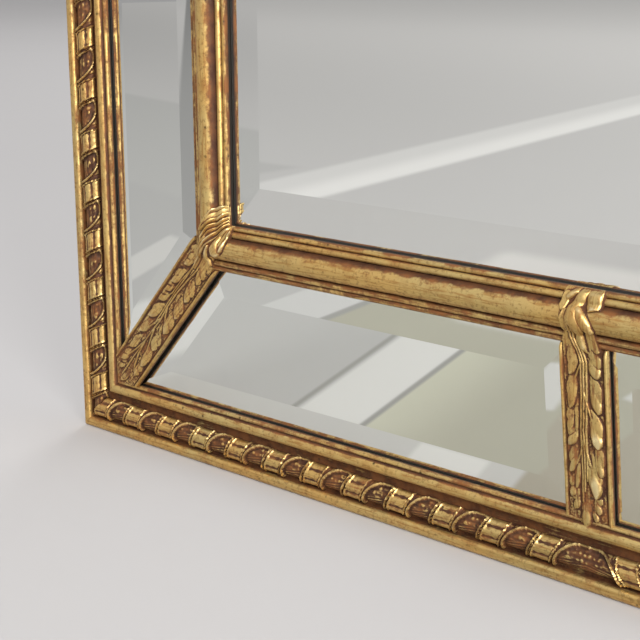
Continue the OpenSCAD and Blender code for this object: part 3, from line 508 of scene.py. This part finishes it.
def ornament(name, index, corner):
    """A leaf laid in its strip, with its folded stem over the inner moulding."""
    edges = np.array(CORNER_EDGES if corner else MIDDLE_EDGES)
    table, vein_lines, folds = (
        (CORNER_LOBES, CORNER_VEINS, CORNER_FOLDS) if corner else (MIDDLE_LOBES, MIDDLE_VEINS, MIDDLE_FOLDS)
    )
    veins = [(tuple((p, q, 1) for p, q in line), 0.55, 1.1, 0) for line in vein_lines]
    way = stem_path()
    first, last = edges[0, 0], edges[-1, 0]
    rows, columns, under = int((last - first) / 0.34), 88 if corner else 72, 11
    thickness, dip_at = 1.6, 121.7

    def shape(a, b):
        # The columns past the front ones run back underneath, so that the relief is a closed body.
        step = np.round(a * (columns + under))
        below = (step > columns) & (step < columns + under)
        back = 1 - np.maximum(step - columns - 1, 0) / (under - 2)
        a = np.maximum(np.where(step > columns, back, step / columns), 0)
        m = first + (last - first) * b
        low, high = (np.interp(m, edges[:, 0], edges[:, k]) for k in (1, 2))
        x = low + (high - low) * a
        u, f, nu, nf = (np.interp(m, way[0], way[k]) for k in (1, 2, 3, 4))
        across = x / sqrt(2) if corner else x
        along = (sqrt(2) * (u - SIGHT_U) + abs(across)) / cos(HIP) if corner else m

        # The leaf: lobes with a shallower row behind them, a stalk and veins, on a grained ground.
        p = along + 0.3 * ripple(along / 3.1, across / 3.1, 11)
        q = across + 0.25 * ripple(along / 3.4, across / 3.4, 17)
        leaf = np.maximum(lobes(p, q, table), 0.6 * lobes(p - 5.5, 0.96 * q, table))
        stalk = 0.5 * np.exp(-((across / 2.4) ** 2))
        vein = lines(along, across + 0.12 * ripple(along / 4, across / 4, 17), veins)
        beside = 0.5 * smooth(1.6, 0.9, np.abs(vein - 0.55) + abs(across) / 6) * (vein <= 0)
        leaf = np.maximum(leaf - beside, stalk + vein)
        grain = 0.22 * ripple(along * 1.5, across * 1.5, 3) + 0.2 * ripple(along / 1.6, across / 1.2, 5) + 0.12
        grain = grain * smooth(1.0, 0.2, leaf)

        # The stem takes over from the leaf where the strip meets the inner moulding.
        fold = lines(m, x, folds) + 0.25
        over = smooth(93.5, 98.5, m)
        rise = (leaf + grain) * (1 - over) + fold * over
        meeting = 0.75 * np.maximum(leaf * (1 - over), fold * over)
        rise = np.maximum(rise, np.where((over > 0) & (over < 1), meeting, 0))
        rim = np.minimum(a, 1 - a) * (high - low)
        rise = rise * (1 - over * smooth(0.9, 0, rim)) + 0.06 * ripple(along / 2.2, across / 2.2, 9)
        rise += 0.05
        rise *= 1 - 0.22 * np.exp(-(((m - dip_at) / 3.5) ** 2))
        rise *= 1 - 0.85 * smooth(last - 4, last, m)
        stand = crests(rise, columns + under, 4)
        rise = np.where(below, 0, rise)
        if corner:
            f = f + abs(across) * tan(HIP) * (1 - over)
        u, f = u + nu * rise, f + nf * rise - thickness * below
        if corner:
            place = corner_point(index, u + np.maximum(0, -x), u + np.maximum(0, x), f)
        else:
            place = side_point(index, x, u, f)
        # Lighter on the raised relief and its crests, darker on the ground and in hollows: partly the brown
        # toning, partly painted shade.
        shade = 0.74 - 0.3 * smooth(0.3, 1.8, rise) - 0.28 * over
        shade = shade - 0.7 * smooth(0.0, 0.4, stand) + 0.8 * smooth(0.0, -0.3, stand)
        patches = smooth(-0.6, 0.5, ripple(along / 5, across / 4, 21))
        burnish_and_highlight = smooth(0.02, 0.45, stand) * smooth(1.0, 2.2, rise) * (0.6 + 0.3 * over) * patches
        # Painted highlight: the highest lobe tips get the brightest gold.
        burnish_and_highlight = np.maximum(burnish_and_highlight, smooth(2.1, 3.2, rise) * (1 - over))
        return place, {"shade": shade, "burnish_and_highlight": burnish_and_highlight, "along": along, "over": across}

    return closed(grid(name, columns + under, rows, shape))


def strip(name, index, corner):
    """A dividing strip: two rounded fillets beside a tray, with a tongue between the glasses."""
    edge, tongue, base = STRIP_HALF, TONGUE_GAP / 2 - 0.2, -4
    half = [(0, base, NEAR_BLACK), (tongue, base, NEAR_BLACK), (tongue, STRIP_FOOT, NEAR_BLACK)]
    half += [(edge - 0.4, STRIP_FOOT, NEAR_BLACK), (edge, STRIP_FOOT + 0.3, NEAR_BLACK)]
    # The sides are near black low down, at the glass: painted shadow of the gap under the strip.
    half += [(edge, 0.1, NEAR_BLACK), (edge, 0.4, 1)]
    fillet = arc(edge - 0.85, STRIP_TOP - 0.85, 0.85, 0, 180, 10)
    half += [(y, z, 0.34 + 0.3 * (k > 7)) for k, (y, z) in enumerate(fillet)]
    half += [(edge - 1.9, TRAY, 1.05), (edge - 5, TRAY, 0.9), (0, TRAY, 0.9)]
    section = np.array(half + [(-y, z, shade) for y, z, shade in half[-2::-1]])
    rows = len(section) - 1
    length = BORDER_W * sqrt(2) / cos(HIP) if corner else BORDER_W / cos(CANT)
    columns = int(length / 2.5)

    def shape(a, b):
        y, z, shade = (np.interp(b * rows, np.arange(rows + 1), section[:, k]) for k in range(3))
        front = z > 1.6
        free = smooth(0, 0.06, np.minimum(a, 1 - a)) * front
        z = z - 1.3 * smooth(0.03, 0, 1 - a) * front
        z = z + 0.16 * free * ripple(a * length / 11, y / 6, index + 1)
        y = y + 0.14 * free * ripple(a * length / 13, y / 9, index + 4)
        values = {"shade": shade, "along": a * length, "over": y}
        if corner:
            start = (abs(y) + z * sin(HIP)) / cos(HIP)
            return ridge_point(index, start + a * length, y, z), values
        return slope_point(index, y, a * length, z), values

    return closed(grid(name, columns, rows, shape))


def new_finish(name):
    """An empty finish with its shader and the place on the piece in metres."""
    material = bpy.data.materials.new(name)
    material.use_nodes = True
    nodes = material.node_tree.nodes
    return material, nodes["Principled BSDF"], nodes.new("ShaderNodeTexCoord").outputs["Object"]


def fill(node, values):
    """Joins or sets a node's inputs, by number or by name."""
    for key, value in values.items():
        if isinstance(value, bpy.types.NodeSocket):
            node.id_data.links.new(value, node.inputs[key])
        elif value is not None:
            node.inputs[key].default_value = value


def step(near, kind, *inputs, **settings):
    """Adds a node to a socket's tree, sets it up and joins or sets its inputs by number or by name."""
    node = near.id_data.nodes.new("ShaderNode" + kind)
    values = dict(enumerate(inputs))
    for key, value in settings.items():
        if key[0].isupper():
            values[key.replace("_", " ")] = value
        else:
            setattr(node, key, value)
    fill(node, values)
    return node


def noise(place, scale, detail=3, rough=0.55):
    return step(place, "TexNoise", Vector=place, Scale=scale, Detail=detail, Roughness=rough).outputs["Fac"]


def band(value, low, high, out_low=0, out_high=1):
    """A smooth step of a value from one number to another."""
    node = step(value, "MapRange", value, low, high, out_low, out_high, interpolation_type="SMOOTHSTEP")
    return node.outputs[0]


def sums(how, a, b):
    near = a if isinstance(a, bpy.types.NodeSocket) else b
    return step(near, "Math", a, b, operation=how).outputs[0]


def times(a, b):
    return sums("MULTIPLY", a, b)


def mix(amount, a, b):
    """A mix of two colours by an amount."""
    a, b = (tone if isinstance(tone, bpy.types.NodeSocket) else (*tone, 1) for tone in (a, b))
    return step(amount, "Mix", amount, *[None] * 5, a, b, data_type="RGBA").outputs[2]


def shaded(tone, share):
    """A colour darkened to a share of itself."""
    return tuple(c * share for c in tone)


def own(place, name):
    """A number kept on the piece's own surface."""
    return step(place, "Attribute", attribute_name=name).outputs["Fac"]


def bump(shader, *layers):
    """Fine relief from (height, strength, distance in metres) layers."""
    normal = None
    for height, strength, reach in layers:
        normal = step(height, "Bump", Height=height, Strength=strength, Distance=reach, Normal=normal).outputs[0]
    fill(shader, {"Normal": normal})


def gilt(finish, name="gold_leaf_over_bole"):
    """Gold leaf toned with brown: bole in the hollows, streaks along the mouldings, specks, rubbed tops, with
    painted shade in the valleys and painted highlights on the rubbed tops.
    """
    if name in bpy.data.materials:
        return bpy.data.materials[name]
    material, shader, place = new_finish(name)
    shade, burnish_and_highlight = own(place, "shade"), own(place, "burnish_and_highlight")
    along, over = times(own(place, "along"), 0.035), times(own(place, "over"), 0.55)
    streak_place = step(place, "CombineXYZ", along, over, noise(place, 3)).outputs[0]
    streaks = noise(streak_place, 1.6, 4, 0.6)
    cloud, mottle = noise(place, 14), noise(place, 95, 4, 0.6)
    fine = noise(place, 420, 4, 0.65)
    tip, valley_shade, speck, night = (1, 0.86, 0.52), (0.038, 0.018, 0.013), (0.035, 0.02, 0.012), (0.012, 0.009, 0.006)

    gold = mix(band(cloud, 0.38, 0.62), finish.gold, finish.gold_green)
    for value, low, high, share, tone in (
        (mottle, 0.45, 0.68, 0.38, finish.gold_deep),
        (streaks, 0.48, 0.64, 0.65, finish.gold_deep),
        (fine, 0.53, 0.63, 0.42, finish.bole_light),
    ):
        gold = mix(band(value, low, high, 0, share), gold, tone)
    # Painted highlight: the burnish brightens the gold's colour, to near white at its strongest; it also lowers
    # the roughness below.
    gold = mix(times(burnish_and_highlight, 0.75), gold, finish.gold_burnish_and_highlight)
    gold = mix(band(burnish_and_highlight, 0.7, 1, 0, 0.5), gold, tip)
    bole = mix(band(mottle, 0.36, 0.64), finish.bole, finish.bole_light)
    bole = mix(band(fine, 0.5, 0.62, 0, 0.5), bole, finish.dust)
    # Painted shade: the bole goes darker in the deepest valleys.
    bole = mix(band(shade, 0.8, 1.15, 0, 0.6), bole, valley_shade)

    # Bole shows where shade and noise run high: partly real wear, partly painted shade in the hollows.
    wear_and_shade = shade
    for value, share in ((mottle, 1.1), (streaks, 0.9), (fine, 0.5)):
        wear_and_shade = sums("ADD", wear_and_shade, times(sums("SUBTRACT", value, 0.5), share))
    bare = band(sums("SUBTRACT", wear_and_shade, times(burnish_and_highlight, 0.35)), 0.38, 0.88)
    specks = step(place, "TexVoronoi", Vector=place, Scale=150, Randomness=1).outputs["Distance"]
    sparse = times(band(specks, 0.2, 0.06), band(noise(place, 60, 1), 0.5, 0.62))
    # Near black past shade 1.5: partly black paint, partly painted shadow in the gaps at the glass.
    near_black_mask = band(shade, NEAR_BLACK - 0.5, NEAR_BLACK - 0.1)
    tone = mix(bare, gold, bole)
    tone = mix(times(sparse, 0.85), tone, speck)
    tone = mix(near_black_mask, tone, night)
    covered = sums("SUBTRACT", 1, sums("MAXIMUM", times(bare, 0.85), near_black_mask))
    dull = sums("ADD", 0.4, times(mottle, 0.12))
    dull = sums("ADD", dull, times(bare, 0.12))
    dull = sums("SUBTRACT", dull, times(burnish_and_highlight, 0.17))
    metal = times(covered, 0.92)
    fill(shader, {"Base Color": tone, "Metallic": metal, "Roughness": dull, "Specular IOR Level": 0.16})
    bump(shader, (mottle, 0.3, 0.0007), (fine, 0.45, 0.0004), (sparse, -0.4, 0.0002))
    return material


def silvered_glass(finish, name="silvered_glass"):
    """Mirror glass with a faint green-grey cast, the slightest waves and a bloom of dust."""
    material, shader, place = new_finish(name)
    cast = band(noise(place, 2.2, 2), 0.35, 0.7)
    tone = mix(cast, finish.glass, shaded(finish.glass, 0.97))
    bloom = band(noise(place, 9, 5, 0.6), 0.3, 0.8, 0.004, 0.02)
    fill(shader, {"Base Color": tone, "Metallic": 1.0, "Roughness": bloom})
    bump(shader, (noise(place, 5, 1), 0.02, 0.0004))
    return material


def timber(name, light, dark, grain=(8, 60, 60), rough=0.62, swirl=0.6):
    """Wood grain, or pressed fibre, in the piece's own place."""
    material, shader, place = new_finish(name)
    turned = step(place, "Mapping", Vector=place, Scale=grain).outputs[0]
    rings = step(place, "TexNoise", Vector=turned, Scale=1, Detail=6, Roughness=0.62, Distortion=swirl)
    rings = rings.outputs["Fac"]
    fine, stain = noise(place, 700, 3, 0.7), noise(place, 5)
    tone = mix(band(rings, 0.36, 0.64), light, dark)
    tone = mix(band(stain, 0.45, 0.7, 0, 0.35), tone, shaded(dark, 0.6))
    tone = mix(band(fine, 0.5, 0.7, 0, 0.25), tone, shaded(dark, 0.5))
    gloss = band(rings, 0.3, 0.7, rough - 0.08, rough + 0.1)
    fill(shader, {"Base Color": tone, "Roughness": gloss})
    bump(shader, (rings, 0.3, 0.0005), (fine, 0.3, 0.0002))
    return material


def bare_metal(name, clean, dull, rough=0.34):
    """Plated metal with tarnish, handling marks and fine scratches."""
    material, shader, place = new_finish(name)
    tarnish, fine = noise(place, 130, 5, 0.65), noise(place, 900, 2)
    turned = step(place, "Mapping", Vector=place, Rotation=(0.4, 0.9, 0.3)).outputs[0]
    scratch = step(place, "TexWave", Vector=turned, Scale=420, Distortion=9, Detail=3).outputs["Fac"]
    tone = mix(band(tarnish, 0.42, 0.68), clean, dull)
    metal = band(tarnish, 0.4, 0.7, 1.0, 0.8)
    marks = band(sums("ADD", tarnish, times(fine, 0.3)), 0.4, 1, rough - 0.06, rough + 0.2)
    fill(shader, {"Base Color": tone, "Metallic": metal, "Roughness": marks})
    bump(shader, (fine, 0.2, 0.00015), (scratch, 0.06, 0.0001))
    return material


def soft_rubber(name="grey_rubber"):
    """Moulded rubber with a dusty, slightly pitted skin."""
    material, shader, place = new_finish(name)
    pits, dust = noise(place, 1400, 3, 0.7), noise(place, 160, 4)
    tone = mix(band(dust, 0.45, 0.75), (0.018, 0.018, 0.019), (0.07, 0.068, 0.064))
    fill(shader, {"Base Color": tone, "Roughness": band(dust, 0.3, 0.7, 0.62, 0.85)})
    bump(shader, (pits, 0.35, 0.0002))
    return material


def dress(material, *names):
    """Gives nodes that keep their shape a finish of their own."""
    for name in names:
        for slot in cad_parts[name].material_slots:
            slot.material = material


def colour(name, about, value):
    return bpy.props.FloatVectorProperty(
        name=name, description=about, subtype="COLOR", size=3, min=0, max=1, default=value
    )


def number(name, about, value, low, high, **kind):
    """A length in metres, or another kind of number if one is named."""
    kind = kind or {"unit": "LENGTH"}
    return bpy.props.FloatProperty(name=name, description=about, default=value, min=low, max=high, **kind)


class MirrorSizes(bpy.types.PropertyGroup):
    """Sizes of the ornament"""

    ribbon_pitch: number("Ribbon pitch", "From one ribbon band to the next", 0.0337, 0.02, 0.08)
    ribbon_lean: number(
        "Ribbon lean", "Slant of the ribbon across its bar", radians(25), 0, radians(45), subtype="ANGLE"
    )
    ribbon_start_wide: number(
        "First band, bottom and top", "From the corner to the first ribbon band", 0.0225, 0.01, 0.06
    )
    ribbon_start_tall: number(
        "First band, sides", "From the corner to the first ribbon band", 0.0338, 0.01, 0.06
    )
    unevenness: number(
        "Unevenness", "How far the hand-laid gesso wanders from a true line", 0.0001, 0, 0.0005
    )


class MirrorFinish(bpy.types.PropertyGroup):
    """Colours of the finishes"""

    gold: colour("Gold", "Gold leaf on the flats", (0.65, 0.425, 0.15))
    gold_green: colour("Greenish gold", "Toned gold leaf", (0.60, 0.445, 0.183))
    gold_deep: colour("Deep gold", "Gold leaf under brown toning", (0.38, 0.18, 0.05))
    # The burnished colour is a painted highlight on the rubbed high points.
    gold_burnish_and_highlight: colour("Burnished gold", "Rubbed high points", (0.92, 0.74, 0.42))
    bole: colour("Bole", "Red-brown ground in the hollows", (0.062, 0.022, 0.010))
    bole_light: colour("Rubbed bole", "Bole that shows through rubbed gold", (0.18, 0.070, 0.023))
    dust: colour("Dust", "Grey toning left in the hollows", (0.125, 0.07, 0.032))
    glass: colour("Silvering", "Tint of the mirror glass", (0.87, 0.88, 0.875))
    floor: colour("Floor", "Plain studio floor", (0.45, 0.444, 0.45))


class Builder:
    """What the operators below share."""

    bl_options = {"REGISTER", "UNDO"}

    def execute(self, context):
        self.make(context.scene.mirror_sizes, context.scene.mirror_finish)
        return {"FINISHED"}


def mouldings(kind, section, wood, seed, sizes, finish):
    """Four mitred lengths of a moulding, gilt in front and bare wood behind."""
    for side, word in enumerate(SIDES):
        mesh = run(kind + "_gilt_" + word, side, section, 1000 * sizes.unevenness, side + seed)
        split_back(mesh)
        piece(mesh, gilt(finish), replaces=(kind + "_" + word,), extra=(wood,))


class MIRROR_OT_rails(Builder, bpy.types.Operator):
    """Make the four mitred rails of the outer frame"""

    bl_idname = "mirror.rails"
    bl_label = "Outer Rails"

    def make(self, sizes, finish):
        wood = timber("aged_pine", (0.36, 0.21, 0.10), (0.20, 0.105, 0.045))
        mouldings("outer_rail", rail_section(), wood, 0, sizes, finish)


class MIRROR_OT_ribbon(Builder, bpy.types.Operator):
    """Make the ribbon-bound reeds that lie in the rails"""

    bl_idname = "mirror.ribbon"
    bl_label = "Ribbon Ornament"

    def make(self, sizes, finish):
        for side, word in enumerate(SIDES):
            mesh = ribbon_bar(side, sizes)
            piece(mesh, gilt(finish), replaces=("ribbon_bar_" + word,), sharp=60)


class MIRROR_OT_inner(Builder, bpy.types.Operator):
    """Make the rounded moulding that holds the centre glass"""

    bl_idname = "mirror.inner"
    bl_label = "Inner Moulding"

    def make(self, sizes, finish):
        wood = timber("planed_pine", (0.40, 0.25, 0.12), (0.25, 0.14, 0.06))
        mouldings("inner_moulding", inner_section(), wood, 5, sizes, finish)


def on_border(make, part, finish, sharp):
    """A piece of a kind at the middle of each side and at each corner."""
    for kind, words, corner in PLACES:
        for k, word in enumerate(words):
            mesh = make(f"{kind}_{part}_gilt_{word}", k, corner)
            piece(mesh, gilt(finish), replaces=(f"{kind}_{part}_{word}",), sharp=sharp)


class MIRROR_OT_strips(Builder, bpy.types.Operator):
    """Make the strips that divide the border glasses"""

    bl_idname = "mirror.strips"
    bl_label = "Dividing Strips"

    def make(self, sizes, finish):
        on_border(strip, "strip", finish, 40)


class MIRROR_OT_leaves(Builder, bpy.types.Operator):
    """Make the leaf ornament of the strips, with stems folded over the inner moulding"""

    bl_idname = "mirror.leaves"
    bl_label = "Leaf Ornament"

    def make(self, sizes, finish):
        on_border(ornament, "leaf", finish, 70)


class MIRROR_OT_glass(Builder, bpy.types.Operator):
    """Silver the bevelled glasses"""

    bl_idname = "mirror.glass"
    bl_label = "Mirror Glass"

    def make(self, sizes, finish):
        plates = [f"border_glass_{side}_{half}" for side, pair in zip(SIDES, GLASS_HALVES) for half in pair]
        dress(silvered_glass(finish), "centre_glass", *plates)


class MIRROR_OT_back(Builder, bpy.types.Operator):
    """Finish the wood, boards and fixings at the back"""

    bl_idname = "mirror.back"
    bl_label = "Back and Fixings"

    def make(self, sizes, finish):
        pine = timber("bare_pine", (0.55, 0.36, 0.18), (0.36, 0.20, 0.09))
        dress(pine, "corner_splines", *("ground_board_" + word for word in SIDES))
        board = timber("pressed_hardboard", (0.17, 0.095, 0.05), (0.12, 0.06, 0.03), (90, 90, 90), 0.55, 0)
        dress(board, "back_board", "centre_backing")
        zinc = bare_metal("zinc_plate", (0.56, 0.55, 0.53), (0.30, 0.29, 0.27))
        dress(zinc, "glazing_points", "corner_nails", "frame_clips", "clip_screws")
        dress(bare_metal("lacquered_brass", (0.78, 0.55, 0.22), (0.36, 0.23, 0.09)), "back_screws")
        dress(soft_rubber(), "wall_bumpers")


class MIRROR_OT_hangers(Builder, bpy.types.Operator):
    """Finish the hanger straps, their screws and the rings that swing in them"""

    bl_idname = "mirror.hangers"
    bl_label = "Hangers"

    def make(self, sizes, finish):
        tarnished = bare_metal("tarnished_brass", (0.72, 0.49, 0.19), (0.30, 0.18, 0.07), 0.38)
        dress(tarnished, "hanger_strap_left", "hanger_strap_right", "hanger_screws")
        rubbed = bare_metal("rubbed_brass", (0.80, 0.57, 0.24), (0.40, 0.25, 0.10), 0.28)
        dress(rubbed, "hanger_ring_left", "hanger_ring_right")


# Fields of the reflection card, painted reflections of a room, one over another: x from, x to, y from, y to,
# softness of the edge, colour.
# FAR lies past the card's own edges.
FAR = 99
GREY, PALE, SHUT = (0.345, 0.346, 0.335), (0.5, 0.502, 0.485), (0.24, 0.24, 0.225)
BROWN, OLIVE_LIGHT, OLIVE = (0.285, 0.266, 0.216), (0.40, 0.40, 0.325), (0.303, 0.298, 0.242)
FIELDS = (
    (-FAR, FAR, -0.075, FAR, 0.005, (0.4, 0.4, 0.385)),
    (-0.62, -0.475, -0.27, 0, 0.012, (0.46, 0.46, 0.445)),
    (-0.284, -0.229, -FAR, -0.077, 0.003, PALE),
    (-0.292, -0.287, -FAR, -0.077, 0.002, SHUT),
    (-0.229, -0.224, -FAR, -0.077, 0.002, SHUT),
    (-0.165, -0.112, -0.072, 0, 0.003, PALE),
    (-0.086, 1, -FAR, FAR, 0.003, BROWN),
    (-0.13, 1, -0.5, -0.232, 0.003, BROWN),
    (-0.12, -0.092, -0.228, -0.17, 0.003, (0.43, 0.43, 0.41)),
    (-FAR, FAR, -0.362, -0.285, 0.004, GREY),
    (-0.43, 1, -0.362, -0.285, 0.004, (0.3, 0.295, 0.238)),
    (-0.505, -0.436, -0.362, -0.285, 0.003, (0.42, 0.42, 0.41)),
    (-0.436, -0.426, -0.362, -0.285, 0.003, SHUT),
    (-FAR, FAR, -FAR, -0.363, 0.003, (0.365, 0.36, 0.352)),
    (-0.335, -0.18, -0.4, -0.352, 0.012, (0.47, 0.46, 0.445)),
    (-FAR, -0.72, -FAR, FAR, 0.02, (0.33, 0.33, 0.322)),
)
# Strips of the card, painted reflections that the left plate's bevels see: slope, offset from, offset to,
# nearest x, tone.
BEVEL_STRIPS = ((0.25, 0.03, 0.1, -0.62, 0.41), (0.757, 0.155, 0.225, -0.9, 0.235))

# Lamps: name, place, aim, size in metres and power in watts.
LAMPS = (
    ("key_light", (3.2, -4.2, 3.6), (0, 0, -0.1), 1.6, 375),
    ("side_fill", (3.6, -2.0, 0.4), (-0.2, 0, -0.1), 1, 150),
    ("back_light", (-2.4, 4.6, 3.6), (0, 0, 0), 2, 105),
)
# The photograph's camera: yaw, pitch and roll in degrees, place in metres, focal length and sensor in pixels.
CAMERA_TURN, CAMERA_PLACE = (43.06, 14.15, 0.32), (0.3889, -0.6458, -0.2176)
FOCAL_PX, SENSOR_PX, SENSOR_MM = 1480, 640, 36


def card_colour(x, y):
    """The card's fields, bands and streaks as one colour: painted reflections, with streaks of painted light."""

    def zone(value, low, high, soft=0.003):
        start = band(value, low - soft, low + soft)
        return times(start, band(value, high + soft, high - soft))

    def lay(amount, tone):
        nonlocal ground
        ground = mix(amount, ground, tone)

    olive = mix(band(x, -0.23, -0.15), OLIVE_LIGHT, OLIVE)
    ground = mix(zone(x, -0.226, 1), GREY, olive)
    for x0, x1, y0, y1, soft, tone in FIELDS:
        lay(times(zone(x, x0, x1, soft), zone(y, y0, y1, soft)), tone)
    near_floor = mix(band(y, -1.4, -4.5), (0.392, 0.386, 0.38), (0.56, 0.55, 0.54))
    lay(band(y, -0.6, -0.74), near_floor)
    far = sums("ADD", x, times(y, -0.18))
    beyond = band(y, -0.44, -0.5)
    lay(times(zone(far, -0.945, -0.8, 0.014), beyond), (0.485, 0.48, 0.47))
    # A painted streak of light in the reflection.
    peak = times(band(far, -0.9, -0.83), band(far, -0.786, -0.812))
    lay(times(peak, beyond), (0.58, 0.575, 0.56))
    slant = sums("SUBTRACT", x, y)
    lay(times(zone(slant, -0.65, -0.59, 0.006), zone(y, -0.37, -0.21, 0.01)), (0.435, 0.43, 0.415))
    lay(times(zone(x, -3, -1.17, 0.02), zone(y, -1.05, -0.5, 0.02)), (0.345, 0.345, 0.335))
    for slope, start, end, near, tone in BEVEL_STRIPS:
        slant = sums("SUBTRACT", y, times(x, slope))
        strip_area = times(zone(slant, start, end, 0.008), band(x, near, near - 0.02))
        lay(strip_area, (tone, tone, 0.98 * tone))
    return ground


def flat(name, cells, size, place, material):
    """A level square of the stage, which isn't part of the object."""
    bm = bmesh.new()
    bmesh.ops.create_grid(bm, x_segments=cells, y_segments=cells, size=size, matrix=Matrix.Translation(place))
    mesh = bpy.data.meshes.new(name)
    bm.to_mesh(mesh)
    bm.free()
    mesh.materials.append(material)
    obj = bpy.data.objects.new(name, mesh)
    bpy.context.scene.collection.objects.link(obj)
    return obj


class MIRROR_OT_stage(Builder, bpy.types.Operator):
    """Set the floor, the soft light and the camera"""

    bl_idname = "mirror.stage"
    bl_label = "Stage"

    def make(self, sizes, finish):
        scene = bpy.context.scene
        low = CAD_BOX[0][2]
        material, shader, place = new_finish("plain_floor")
        tone = mix(noise(place, 1.5), finish.floor, shaded(finish.floor, 0.97))
        fill(shader, {"Base Color": tone, "Roughness": 0.85, "Specular IOR Level": 0.15})
        bump(shader, (noise(place, 300), 0.05, 0.0004))
        floor = flat("studio_floor", 4, 30, (0, 0, low - 0.0003), material)

        # A low card that only the glass and the gold see, painted with the reflections of a room's floor and
        # skirting and with streaks of light.
        material, shader, place = new_finish("card_in_bands")
        split = step(place, "SeparateXYZ", place)
        tone = card_colour(split.outputs["X"], split.outputs["Y"])
        fill(shader, {"Base Color": tone, "Roughness": 0.9})
        card = flat("reflection_card", 1, 8, (0, -8.03, low + 0.002), material)
        card.visible_camera = card.visible_diffuse = card.visible_shadow = False

        world = bpy.data.worlds.new("plain_room")
        scene.world = world
        world.use_nodes = True
        fill(world.node_tree.nodes["Background"], {"Color": (0.86, 0.85, 0.84, 1), "Strength": 0.85})

        for name, place, aim, size, power in LAMPS:
            lamp = bpy.data.lights.new(name, "AREA")
            lamp.shape, lamp.energy = "RECTANGLE", power
            lamp.size = lamp.size_y = size
            lamp.color = (1, 0.985, 0.965)
            light = bpy.data.objects.new(name, lamp)
            light.location = place
            light.rotation_euler = (Vector(aim) - Vector(place)).to_track_quat("-Z", "Y").to_euler()
            light.visible_camera = False
            scene.collection.objects.link(light)

        yaw, pitch, roll = (radians(a) for a in CAMERA_TURN)
        turn = Matrix.Rotation(yaw, 4, "Z") @ Matrix.Rotation(pi / 2 - pitch, 4, "X")
        lens = bpy.data.cameras.new("photograph_camera")
        lens.sensor_width, lens.lens = SENSOR_MM, SENSOR_MM * FOCAL_PX / SENSOR_PX
        lens.clip_start, lens.clip_end = 0.02, 100
        camera = bpy.data.objects.new("photograph_camera", lens)
        camera.matrix_world = Matrix.Translation(CAMERA_PLACE) @ turn @ Matrix.Rotation(-roll, 4, "Z")
        scene.collection.objects.link(camera)
        scene.camera = camera
        scene.view_settings.view_transform = "Standard"


OPERATORS = (
    MIRROR_OT_rails, MIRROR_OT_ribbon, MIRROR_OT_inner, MIRROR_OT_strips, MIRROR_OT_leaves,
    MIRROR_OT_glass, MIRROR_OT_back, MIRROR_OT_hangers, MIRROR_OT_stage,
)


class MIRROR_PT_panel(bpy.types.Panel):
    """The mirror's pieces, sizes and colours"""

    bl_idname = "MIRROR_PT_panel"
    bl_label = "Gilt Wall Mirror"
    bl_space_type = "VIEW_3D"
    bl_region_type = "UI"
    bl_category = "Mirror"

    def draw(self, context):
        layout = self.layout
        for group, title in ((context.scene.mirror_sizes, "Sizes"), (context.scene.mirror_finish, "Finish")):
            box = layout.box()
            box.label(text=title)
            for key in type(group).__annotations__:
                box.prop(group, key)
        for operator in OPERATORS:
            layout.operator(operator.bl_idname)


CLASSES = (MirrorSizes, MirrorFinish, *OPERATORS, MIRROR_PT_panel)


def register():
    for item in CLASSES:
        bpy.utils.register_class(item)
    bpy.types.Scene.mirror_sizes = bpy.props.PointerProperty(type=MirrorSizes)
    bpy.types.Scene.mirror_finish = bpy.props.PointerProperty(type=MirrorFinish)


def unregister():
    del bpy.types.Scene.mirror_finish
    del bpy.types.Scene.mirror_sizes
    for item in reversed(CLASSES):
        bpy.utils.unregister_class(item)


def main():
    register()
    bpy.ops.mirror.rails()
    bpy.ops.mirror.ribbon()
    bpy.ops.mirror.inner()
    bpy.ops.mirror.strips()
    bpy.ops.mirror.leaves()
    bpy.ops.mirror.glass()
    bpy.ops.mirror.back()
    bpy.ops.mirror.hangers()
    bpy.ops.mirror.stage()


if __name__ == "__main__":
    main()
